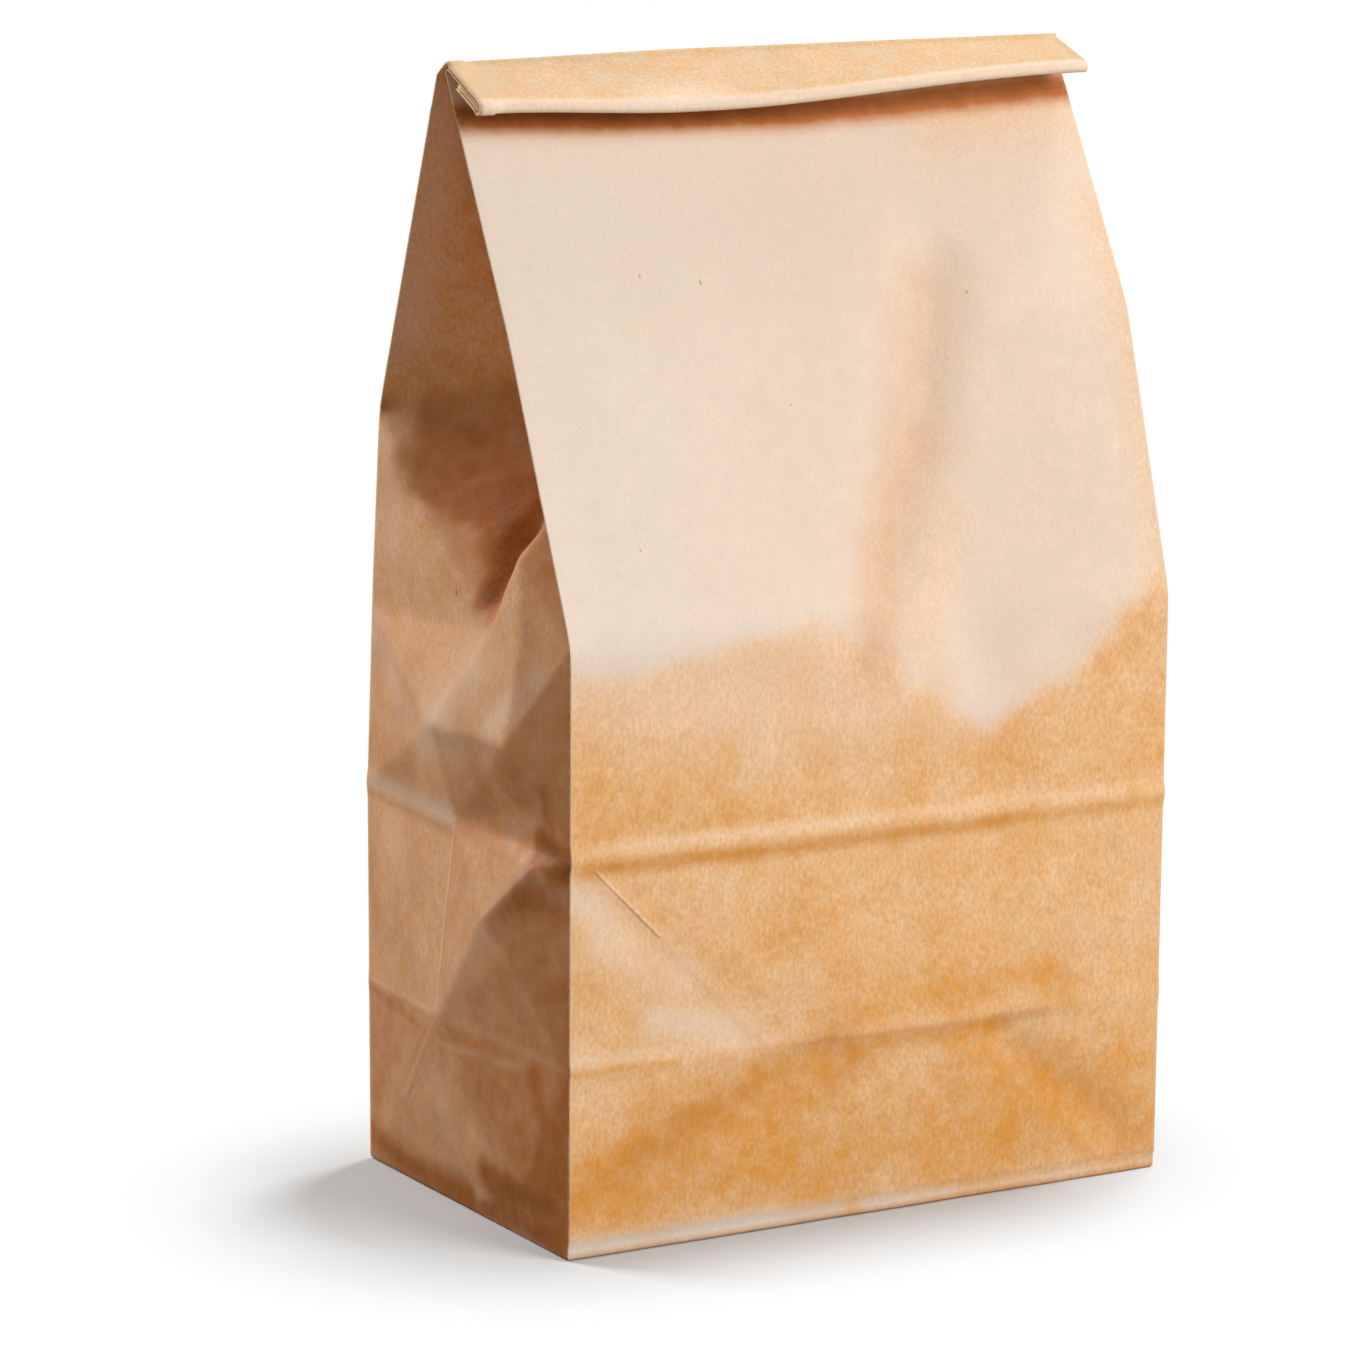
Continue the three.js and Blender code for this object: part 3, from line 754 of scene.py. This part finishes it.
def on_facet(corners, place, z):
    """Shares of a facet's second and third corner at each place, and if it lies inside."""
    (ax, az, _), (bx, bz, _), (cx, cz, _) = corners
    area = (bx - ax) * (cz - az) - (bz - az) * (cx - ax)
    b = ((place - ax) * (cz - az) - (z - az) * (cx - ax)) / area
    c = ((bx - ax) * (z - az) - (bz - az) * (place - ax)) / area
    return b, c, (b >= 0) & (c >= 0) & (b + c <= 1)


# Painted shade on facets of the left side that face away from the light or lie in a dent
LEFT_FACET_SHADE = {
    "frontFoot foot dentLow": 0.98,
    "frontFoot dentLow frontLower": 1,
    "foot lower dentLow": 0.18,
    "dentLow lower frontLower": 0.7,
    "foot backFoot lower": 0.15,
    "backFoot backLower lower": 0.5,
    "frontLower lower dentSide": 0.4,
    "frontLower dentSide frontNotch": 0.75,
    "lower upper dentSide": 0.27,
    "dentSide dentHigh frontNotch": 0.95,
    "frontNotch dentHigh frontUpper": 0.3,
    "upper frontUpper dentHigh": 0.48,
    "upper pucker frontUpper": 0.58,
    "upper shoulder pucker": 0.67,
    "pucker frontBent frontUpper": 0.7,
    "pucker shoulder frontBent": 0.56,
    "upper point shoulder": 0.37,
    "lower backLower backUpper": 0.1,
    "point backUpper backOpen": 0.1,
    "upper backUpper point": 0.1,
    "shoulder kink frontBent": 0.35,
    "frontBent kink frontOpen": 0.62,
    "point valleyStart kink": 0.4,
    "kink valleyStart valleyLow": 0.75,
    "kink valleyLow frontOpen": 0.6,
    "frontOpen valleyLow valleyHigh": 0.95,
    "valleyStart backStrip slitEdge": 0.4,
    "valleyStart slitEdge valleyLow": 1.2,
    "slitEdge backStrip valleyHigh": 1.3,
    "slitEdge valleyHigh valleyLow": 1.3,
    "valleyHigh backStrip pinch": 0.75,
    "backStrip backEdge pinch": 0.1,
    "valleyHigh pinch folded": 0.55,
    "pinch backFolded folded": 0.1,
}


def facet_depths(side, facets, place, z):
    """Depth folded in at each place of a gusset, flat between its creases."""
    points = crease_points(side)
    depth = fold_depth(side, z) * (1 - np.abs(place)) * (z >= FOLDED_IN)
    for names in facets:
        corners = [points[name] for name in names.split()]
        b, c, inside = on_facet(corners, place, z)
        ad, bd, cd = (corner[2] for corner in corners)
        depth = np.where(inside, ad + b * (bd - ad) + c * (cd - ad), depth)
    return depth


def facet_tones(side, tones, place, z):
    """How much painted shade each place of a gusset gets, by the facet that it lies on."""
    points = crease_points(side)
    tone = np.zeros(np.broadcast_shapes(place.shape, z.shape))
    for names, strength in tones.items():
        inside = on_facet([points[name] for name in names.split()], place, z)[2]
        tone = np.where(inside, strength, tone)
    return soften(tone, TONE_SOFTNESS)


def gusset_relief(side, place, z):
    """Fine creases and waves of a gusset, inwards."""
    y = place * HALF_DEPTH
    inner = smooth((1 - np.abs(place)) / 0.3) * smooth((FOLDED_IN + 20 - z) / 30)
    inner = inner * smooth(z / 8)
    return waves_at(y, z, GUSSET_WAVES, side) * inner


def gusset_grid(side, facets, count):
    place = crowded(count)[None, :]
    z = row_level
    depth = facet_depths(side, facets, place, z)
    depth = soften(depth, GUSSET_SOFTNESS) + gusset_relief(side, place, z) * (np.abs(place) < 1)
    depth[:, 0] = depth[:, -1] = 0
    x = side * (HALF_WIDTH - depth)
    front = on_panel(front_y, x), on_panel(front_z, x)
    back = on_panel(back_y, x), on_panel(back_z, x)
    apart = np.hypot(back[0] - front[0], back[1] - front[1])
    edge = PLY_EDGE / apart
    share = lerp(edge, 1 - edge, (place + 1) / 2)
    return np.stack([
        x * (HALF_WIDTH - bevel_cut) / HALF_WIDTH,
        lerp(front[0], back[0], share),
        lerp(front[1], back[1], share),
    ], -1)


def roll_gusset(side, count):
    place = crowded(count)
    x = side * (HALF_WIDTH - HALF_DEPTH * (1 - np.abs(place)))
    rows = []
    for inner_y, inner_z, outer_y, outer_z in roll_pairs(x):
        edge = PLY_EDGE / np.hypot(outer_y - inner_y, outer_z - inner_z)
        share = lerp(edge, 1 - edge, (place + 1) / 2)
        rows.append(np.stack([x, lerp(inner_y, outer_y, share),
                              lerp(inner_z, outer_z, share)], -1))
    return np.array(rows)


def panel_block(y, z, x, ply, proud=0):
    """Points of a wide panel, on the body's rows and then on the roll's."""
    x = np.asarray(x)
    wide = np.tile(x, (len(levels), 1))
    body_y, body_z = on_panel(y, wide), on_panel(z, wide)
    squeezed = wide * (HALF_WIDTH - bevel_cut) / HALF_WIDTH
    body = np.stack([squeezed, body_y + proud, body_z], -1)
    rows = []
    for inner_y, inner_z, outer_y, outer_z in roll_pairs(x):
        apart = np.hypot(outer_y - inner_y, outer_z - inner_z)
        share = ply + proud / apart
        rows.append(np.stack([x, lerp(inner_y, outer_y, share),
                              lerp(inner_z, outer_z, share)], -1))
    return np.concatenate([body, np.array(rows)])


def bag_blocks():
    """Blocks of columns round the bag, anticlockwise seen from above."""
    seam = SEAM_WIDTH - HALF_WIDTH
    back_x = np.linspace(HALF_WIDTH, seam, BACK_COLUMNS + 1)
    seam_x = np.linspace(seam, -HALF_WIDTH, 4)
    right = np.concatenate([gusset_grid(1, PLAIN_FACETS, RIGHT_COLUMNS),
                            roll_gusset(1, RIGHT_COLUMNS)])
    left = np.concatenate([gusset_grid(-1, CRUMPLED_FACETS, LEFT_COLUMNS),
                           roll_gusset(-1, LEFT_COLUMNS)])
    return [
        panel_block(front_y, front_z, panel_x, 0),
        right,
        panel_block(back_y, back_z, back_x, 1),
        panel_block(back_y, back_z, seam_x, 1, SEAM_STEP),
        left[:, ::-1],
    ]


# Layers of colour at each point: paleness, mostly painted sheen and highlights; stains and painted
# shade; painted shade in folds and valleys; dullness; and wear

# Painted sheen above the tide lines, painted shade along the shaded lines, painted highlights below
# the tide line, and random pale patches below the upper crease
def front_paleness(x, z):
    uneven = waves_at(x, z, TIDE_WAVES)
    high = smooth((z - through(TIDE_LINE, x) + uneven) / TIDE_WIDTH + 0.5)
    low = smooth((z - through(LOW_TIDE_LINE, x) + 2 * uneven) / LOW_TIDE_WIDTH + 0.5)
    shaded = along_lines(x, z, SHADED_LINES)
    pale = lerp(high, low, LOW_TIDE_SHARE) * (1 - shaded)
    patches = 0.16 * np.maximum(0, rumple(x, z, 17, 33.3)) * (z < UPPER_CREASE)
    pale = pale * lerp(1, RIGHT_PALENESS, (x + HALF_WIDTH) / BAG_WIDTH)
    return np.maximum(pale, HIGHLIGHT_SHARE * along_lines(x, z, FRONT_HIGHLIGHTS)) + patches


# Stains in patches, painted shade in the lower valleys and under the creases, the flap's painted
# shadow under its lip, and a darker tone towards the foot
def front_stain_and_shade(x, z):
    below_lip = through(LIP_LINE, x) - z
    # The flap's painted shadow, fading down from under its lip
    lip_shadow = smooth((LIP_SHADOW_END - below_lip) / (LIP_SHADOW_END - LIP_SHADOW_START))
    lip_shadow = lip_shadow * (0.5 + 0.4 * bell(x + 35, 40))
    # Darker and more orange towards the foot
    towards_foot = smooth((LOWER_CREASE + 0.4 - z) / 26) * smooth((z - 2) / 12)
    towards_foot = FOOT_DARKENING * towards_foot * smooth((90 - x) / 40)
    patches = 0.7 * np.maximum(0, rumple(x, z, 15, 51.3)) * smooth((TIDE_LINE[0][1] - z) / 12)
    lines = along_lines(x, z, FRONT_STAINS_AND_SHADE) * (1 - along_lines(x, z, FRONT_HIGHLIGHTS))
    return np.clip(lines + lip_shadow + towards_foot + patches, 0, 1)


def front_shade(x, z):
    below_lip = through(LIP_LINE, x) - z
    # A dark painted shadow close under the flap's lip
    lip_shadow = LIP_SHADE * bell(below_lip - LIP_SHADE_BELOW, LIP_SHADE_REACH)
    return np.maximum(along_lines(x, z, FRONT_SHADES), lip_shadow)


def left_folds(y, z, place):
    """How much painted shade a place of the left side gets in a fold or beside one, with random
    patches.
    """
    tones = facet_tones(-1, LEFT_FACET_SHADE, place, z)
    patches = 0.3 * np.maximum(0, rumple(y, z, 14, 61.7)) * (z < BACK_BEND)
    lines = along_lines(y, z, LEFT_SHADES)
    return np.clip(np.maximum(lines, tones) + patches, 0, 2)


def flap_paleness(x):
    """Paleness of the roll's rings at each column, with painted highlights on the lip and a bulge.
    """
    lip = RIDGE_STEPS + FLAP_STEPS
    ring = np.arange(len(roll_pairs(np.zeros(1))))[:, None]
    near_lip = smooth((ring - lip + 1) / 4)
    middle, wide, strength = FLAP_HIGHLIGHT
    bulge_highlight = strength * bell(x - middle, wide) * bell(ring - lip, 4.5)
    return np.clip(lerp(FLAP_PALE, LIP_HIGHLIGHT, near_lip) + bulge_highlight, 0, 1)


def front_layers(x, z):
    return {
        "front": 1,
        "pale": front_paleness(x, z),
        "stain_and_shade": front_stain_and_shade(x, z),
        "fold": front_shade(x, z),
    }


def left_layers(y, z):
    place = -crowded(LEFT_COLUMNS)[None, :]
    # Painted highlights on the fold ridges and the back edge's strip, painted shade at the top
    at_edge = smooth((place - EDGE_STRIP) / 0.2) * smooth((z - BACK_BEND) / 20)
    lights = np.maximum(along_lines(y, z, LEFT_HIGHLIGHTS), EDGE_HIGHLIGHT * at_edge)
    return {
        "left": 1 - lights,
        "pale": lights,
        "stain_and_shade": TOP_SHADE * smooth((z - BACK_BEND + 8) / 8) * (1 - at_edge),
        "fold": left_folds(y, z, place),
    }


def colour_layers(blocks):
    body = len(levels)
    layers = {name: [] for name in ("pale", "stain_and_shade", "fold", "dull", "worn", "front", "left")}
    for number, block in enumerate(blocks):
        shape = block.shape[:2]
        columns = np.arange(shape[1])
        from_edge = np.minimum(columns, shape[1] - 1 - columns)[None, :]
        own = {name: np.zeros(shape) for name in layers}
        own["worn"][:] = bell(from_edge, 1.2)
        x, y, z = (block[:body, :, axis] for axis in range(3))
        if number != LEFT_BLOCK:
            own["pale"][:body] = PALE_ELSEWHERE
            own["pale"][body:] = flap_paleness(block[body, :, 0])
            own["dull"][body:] = ROLL_DULLNESS
        on_body = {}
        if number == FRONT_BLOCK:
            on_body = front_layers(x, z)
        if number == LEFT_BLOCK:
            on_body = left_layers(y, z)
        for name, values in on_body.items():
            own[name][:body] = values
        for name, values in own.items():
            layers[name].append(values)
    return {name: np.concatenate(parts, axis=1) for name, parts in layers.items()}


def bag_mesh():
    blocks = bag_blocks()
    points = np.concatenate(blocks, axis=1)
    rows, columns = points.shape[:2]
    index = np.arange(rows * columns).reshape(rows, columns)
    beside = np.roll(index, -1, axis=1)
    quads = np.stack([index[:-1], beside[:-1], beside[1:], index[1:]], -1).reshape(-1, 4)
    faces = [tuple(int(i) for i in quad) for quad in quads]
    faces.append(tuple(int(i) for i in index[0][::-1]))

    mouth = points[-1]
    across = mouth[:, 0]
    centre = mouth[:, 1:].mean(0)
    away = (mouth[:, 1:] - centre) @ np.array(ACROSS_PLIES)
    outline = [[Vector((float(a), float(b), 0)) for a, b in zip(across, away)]]
    top = index[-1]
    for triangle in tessellate_polygon(outline):
        faces.append(tuple(int(top[i]) for i in triangle))

    mesh = bpy.data.meshes.new("folded_paper")
    mesh.from_pydata([tuple(p) for p in (points.reshape(-1, 3) * MM).tolist()], [], faces)
    mesh.validate()
    mesh.polygons.foreach_set("use_smooth", [True] * len(mesh.polygons))
    for name, values in colour_layers(blocks).items():
        layer = mesh.attributes.new(name, "FLOAT", "POINT")
        layer.data.foreach_set("value", values.ravel().astype(np.float32))
    mesh.update()
    return mesh


# Materials

def nodes_of(material):
    material.use_nodes = True
    tree = material.node_tree
    tree.nodes.clear()
    return tree


def add(tree, kind, inputs=None, **settings):
    node = tree.nodes.new(kind)
    for name, value in settings.items():
        setattr(node, name, value)
    for name, value in (inputs or {}).items():
        socket = node.inputs[name]
        if isinstance(value, bpy.types.NodeSocket):
            tree.links.new(value, socket)
        else:
            socket.default_value = value
    return node


def layer_of(tree, name):
    return add(tree, "ShaderNodeAttribute", attribute_name=name).outputs["Fac"]


def scaled(tree, value, factor, offset=0.0):
    return add(tree, "ShaderNodeMath", {0: value, 1: factor, 2: offset},
               operation="MULTIPLY_ADD").outputs[0]


def times(tree, a, b):
    return add(tree, "ShaderNodeMath", {0: a, 1: b}, operation="MULTIPLY").outputs[0]


def plus(tree, a, b):
    return add(tree, "ShaderNodeMath", {0: a, 1: b}, operation="ADD", use_clamp=True).outputs[0]


def blended(tree, share, first, second):
    mix = add(tree, "ShaderNodeMix", data_type="RGBA")
    for number, value in ((0, share), (6, first), (7, second)):
        socket = mix.inputs[number]
        if isinstance(value, bpy.types.NodeSocket):
            tree.links.new(value, socket)
        else:
            socket.default_value = value
    return mix.outputs[2]


def noise_at(tree, place, scale, detail=3, stretch=None):
    if stretch:
        place = add(tree, "ShaderNodeMapping", {"Vector": place, "Scale": stretch}).outputs[0]
    texture = add(tree, "ShaderNodeTexNoise", {"Vector": place, "Scale": scale, "Detail": detail})
    return texture.outputs["Fac"]


def spread(tree, value, low, high):
    """Stretches the middle of a noise over the whole range from 0 to 1."""
    node = add(tree, "ShaderNodeMapRange", {"Value": value, "From Min": low, "From Max": high})
    return node.outputs["Result"]


def soft_lines(tree, place, lines):
    """The strongest of several lines between two places each, with a width and a strength."""
    strongest = 0.0
    for start, end, width, strength in lines:
        start, end = (Vector((*ends, 0)) * MM for ends in (start, end))
        run = end - start
        offset = add(tree, "ShaderNodeVectorMath", {0: place, 1: start}, operation="SUBTRACT")
        along = add(tree, "ShaderNodeVectorMath",
                    {0: offset.outputs[0], 1: run / run.length_squared},
                    operation="DOT_PRODUCT").outputs["Value"]
        share = plus(tree, along, 0.0)
        nearest = add(tree, "ShaderNodeVectorMath", {0: run, "Scale": share}, operation="SCALE")
        away = add(tree, "ShaderNodeVectorMath",
                   {0: offset.outputs[0], 1: nearest.outputs[0]},
                   operation="DISTANCE").outputs["Value"]
        line = add(tree, "ShaderNodeMapRange", {
            "Value": away, "From Min": 0.0, "From Max": width * MM,
            "To Min": strength, "To Max": 0.0,
        }, interpolation_type="SMOOTHSTEP").outputs["Result"]
        strongest = add(tree, "ShaderNodeMath", {0: line, 1: strongest},
                        operation="MAXIMUM").outputs[0]
    return strongest


def marked(tree, place, front_lines, left_lines):
    """Soft lines of the front and of the left side, each on its own side only."""
    x, y, z = add(tree, "ShaderNodeSeparateXYZ", {"Vector": place}).outputs
    sides = []
    for across, lines, name in ((x, front_lines, "front"), (y, left_lines, "left")):
        on_side = add(tree, "ShaderNodeCombineXYZ", {"X": across, "Y": z}).outputs[0]
        sides.append(times(tree, soft_lines(tree, on_side, lines), layer_of(tree, name)))
    return plus(tree, *sides)


def paper_colour(tree, clouds, mottle, grain):
    """The paper's colour with its painted sheen, highlights and shade, but without its thin creases,
    specks and worn edges.
    """
    colour = blended(tree, clouds, TAN_DEEP, TAN_LIGHT)
    dull = times(tree, layer_of(tree, "dull"), scaled(tree, clouds, -0.5, 1.15))
    colour = blended(tree, dull, colour, FLAP_PAPER)

    # Paleness: painted sheen on the front's upper part and painted highlights on lips, ridges and
    # facets
    pale = layer_of(tree, "pale")
    uneven = scaled(tree, mottle, 0.3, -0.15)
    pale = plus(tree, pale, times(tree, uneven, spread(tree, pale, 0.0, 0.3)))
    colour = blended(tree, spread(tree, pale, 0.0, 0.5), colour, CREAM_PAPER)
    colour = blended(tree, spread(tree, pale, 0.5, 1.0), colour, PALE_PAPER)
    # The left side is painted with the redder colour that kraft takes in shade
    ruddy_shade = scaled(tree, layer_of(tree, "left"), LEFT_SHADE_RUDDINESS)
    colour = blended(tree, ruddy_shade, colour, RUDDY_SHADE_PAPER)

    plain = scaled(tree, pale, -0.8, 1.0)
    # Random mottling and stains, and painted shade and shadow on the front and the left side's top
    mottled = times(tree, plain, scaled(tree, mottle, MOTTLE_SHARE))
    stained_and_shaded = times(tree, layer_of(tree, "stain_and_shade"), scaled(tree, mottle, 0.15, 0.55))
    colour = blended(tree, plus(tree, mottled, stained_and_shaded), colour, STAIN_AND_SHADE_PAPER)
    # Painted shade in folds, valleys and creases and under the flap's lip, deepest in the left
    # side's folds
    folded = times(tree, layer_of(tree, "fold"), scaled(tree, mottle, 0.3, 0.8))
    colour = blended(tree, spread(tree, folded, 0.0, 1.0), colour, SHADE_AND_SPECK_PAPER)
    colour = blended(tree, spread(tree, folded, 1.0, 2.0), colour, DEEPEST_SHADE_PAPER)
    grained = times(tree, plain, scaled(tree, grain, GRAIN_SHARE))
    return blended(tree, grained, colour, SPECKED_PAPER)


def kraft_paper():
    material = bpy.data.materials.new("kraft_paper")
    tree = nodes_of(material)
    place = add(tree, "ShaderNodeTexCoord").outputs["Object"]
    clouds = spread(tree, noise_at(tree, place, CLOUD_SCALE, 4), 0.3, 0.7)
    mottle = spread(tree, noise_at(tree, place, MOTTLE_SCALE, 6), 0.28, 0.72)
    grain = spread(tree, noise_at(tree, place, GRAIN_SCALE, 3, (1, 1, 0.6)), 0.3, 0.7)
    fibre = spread(tree, noise_at(tree, place, FIBRE_SCALE, 2, (1, 1, 0.12)), 0.3, 0.7)

    colour = paper_colour(tree, clouds, mottle, grain)
    specks = marked(tree, place, FRONT_SPECKS, LEFT_SPECKS)
    colour = blended(tree, specks, colour, SHADE_AND_SPECK_PAPER)
    creased = marked(tree, place, FRONT_CREASES, LEFT_CREASES)
    wear = times(tree, layer_of(tree, "worn"), scaled(tree, grain, 0.5, -0.1))
    wear = plus(tree, wear, times(tree, creased, scaled(tree, mottle, 0.55, -0.1)))
    colour = blended(tree, wear, colour, WORN_PAPER)

    height = plus(tree, scaled(tree, fibre, 0.6), scaled(tree, grain, 0.4))
    bump = add(tree, "ShaderNodeBump", {"Height": height, "Strength": 0.15, "Distance": 0.0002})
    ridges = add(tree, "ShaderNodeBump", {
        "Height": creased, "Strength": 0.6, "Distance": 0.0004,
        "Normal": bump.outputs["Normal"],
    })
    surface = add(tree, "ShaderNodeBsdfPrincipled", {
        "Base Color": colour,
        "Roughness": scaled(tree, mottle, 0.15, 0.5),
        "Specular IOR Level": GLOSS,
        "Normal": ridges.outputs["Normal"],
    })
    add(tree, "ShaderNodeOutputMaterial", {"Surface": surface.outputs["BSDF"]})
    return material


def floor_material():
    """Seen by the camera the floor is a pale sheet that turns white away from the bag."""
    material = bpy.data.materials.new("pale_floor")
    tree = nodes_of(material)
    matt = add(tree, "ShaderNodeBsdfDiffuse", {"Color": (*[FLOOR_TONE] * 3, 1)})
    sheet = add(tree, "ShaderNodeBsdfDiffuse", {"Color": SHEET_TONE})
    white = add(tree, "ShaderNodeEmission", {"Color": (1, 1, 1, 1), "Strength": 1.0})
    place = add(tree, "ShaderNodeTexCoord").outputs["Object"]
    near = plus(tree, soft_lines(tree, place, [SHEET_LINE]), 0.0)
    fading = add(tree, "ShaderNodeMixShader", {"Fac": near})
    tree.links.new(white.outputs[0], fading.inputs[1])
    tree.links.new(sheet.outputs[0], fading.inputs[2])
    seen = add(tree, "ShaderNodeLightPath").outputs["Is Camera Ray"]
    mix = add(tree, "ShaderNodeMixShader", {"Fac": seen})
    tree.links.new(matt.outputs[0], mix.inputs[1])
    tree.links.new(fading.outputs[0], mix.inputs[2])
    add(tree, "ShaderNodeOutputMaterial", {"Surface": mix.outputs[0]})
    return material


# The room: floor, world, lamps and camera

def make_floor():
    half = FLOOR_REACH
    corners = [(-half, -half, 0), (half, -half, 0), (half, half, 0), (-half, half, 0)]
    mesh = bpy.data.meshes.new("floor")
    mesh.from_pydata(corners, [], [(0, 1, 2, 3)])
    mesh.materials.append(floor_material())
    floor = bpy.data.objects.new("floor", mesh)
    bpy.context.scene.collection.objects.link(floor)


def make_world():
    world = bpy.data.worlds.new("studio")
    world.use_nodes = True
    tree = world.node_tree
    tree.nodes.clear()
    sky = add(tree, "ShaderNodeTexCoord").outputs["Generated"]
    height = add(tree, "ShaderNodeSeparateXYZ", {"Vector": sky}).outputs["Z"]
    strength = add(tree, "ShaderNodeMapRange", {
        "Value": height, "From Min": 0.1, "From Max": 0.9,
        "To Min": ROOM_LEVEL, "To Max": ROOM_OVERHEAD,
    }).outputs["Result"]
    room = add(tree, "ShaderNodeBackground", {"Color": (1, 1, 1, 1), "Strength": strength})
    white = add(tree, "ShaderNodeBackground", {"Color": (1, 1, 1, 1), "Strength": 1.0})
    seen = add(tree, "ShaderNodeLightPath").outputs["Is Camera Ray"]
    mix = add(tree, "ShaderNodeMixShader", {"Fac": seen})
    tree.links.new(room.outputs[0], mix.inputs[1])
    tree.links.new(white.outputs[0], mix.inputs[2])
    add(tree, "ShaderNodeOutputWorld", {"Surface": mix.outputs[0]})
    bpy.context.scene.world = world


def make_lamp(name, direction, distance, size, watts, colour):
    data = bpy.data.lights.new(name, "AREA")
    data.shape = "SQUARE"
    data.size = size
    data.energy = watts
    data.color = colour
    lamp = bpy.data.objects.new(name, data)
    target = Vector(LAMP_TARGET)
    away = Vector(direction).normalized()
    lamp.location = target + away * distance
    lamp.rotation_euler = away.to_track_quat("Z", "Y").to_euler()
    bpy.context.scene.collection.objects.link(lamp)


def make_camera():
    azimuth, elevation, roll = (math.radians(a) for a in CAMERA_TURN)
    back = Vector((math.sin(azimuth) * math.cos(elevation),
                   -math.cos(azimuth) * math.cos(elevation), math.sin(elevation)))
    level_right = Vector((math.cos(azimuth), math.sin(azimuth), 0))
    level_up = back.cross(level_right)
    right = math.cos(roll) * level_right + math.sin(roll) * level_up
    up = math.cos(roll) * level_up - math.sin(roll) * level_right
    target = (Vector(BAG_MIDDLE) - LOOKED_LEFT * level_right - LOOKED_BELOW * level_up) * MM
    data = bpy.data.cameras.new("camera")
    data.sensor_width = SENSOR_WIDTH
    data.sensor_fit = "HORIZONTAL"
    data.lens = CAMERA_LENS
    camera = bpy.data.objects.new("camera", data)
    place = target + back * CAMERA_DISTANCE * MM
    turn = Matrix((right, up, back)).transposed().to_4x4()
    camera.matrix_world = Matrix.Translation(place) @ turn
    bpy.context.scene.collection.objects.link(camera)
    bpy.context.scene.camera = camera


def make_bag():
    mesh = bag_mesh()
    mesh.materials.append(kraft_paper())
    bag = bpy.data.objects.new("lunch_bag", mesh)
    bpy.context.scene.collection.objects.link(bag)
    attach(bag, "root")
    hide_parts("paper_bag")
    return bag


make_camera()
make_world()
make_floor()
for lamp in LAMPS:
    make_lamp(*lamp)
make_bag()

bpy.context.scene.view_settings.view_transform = "Standard"
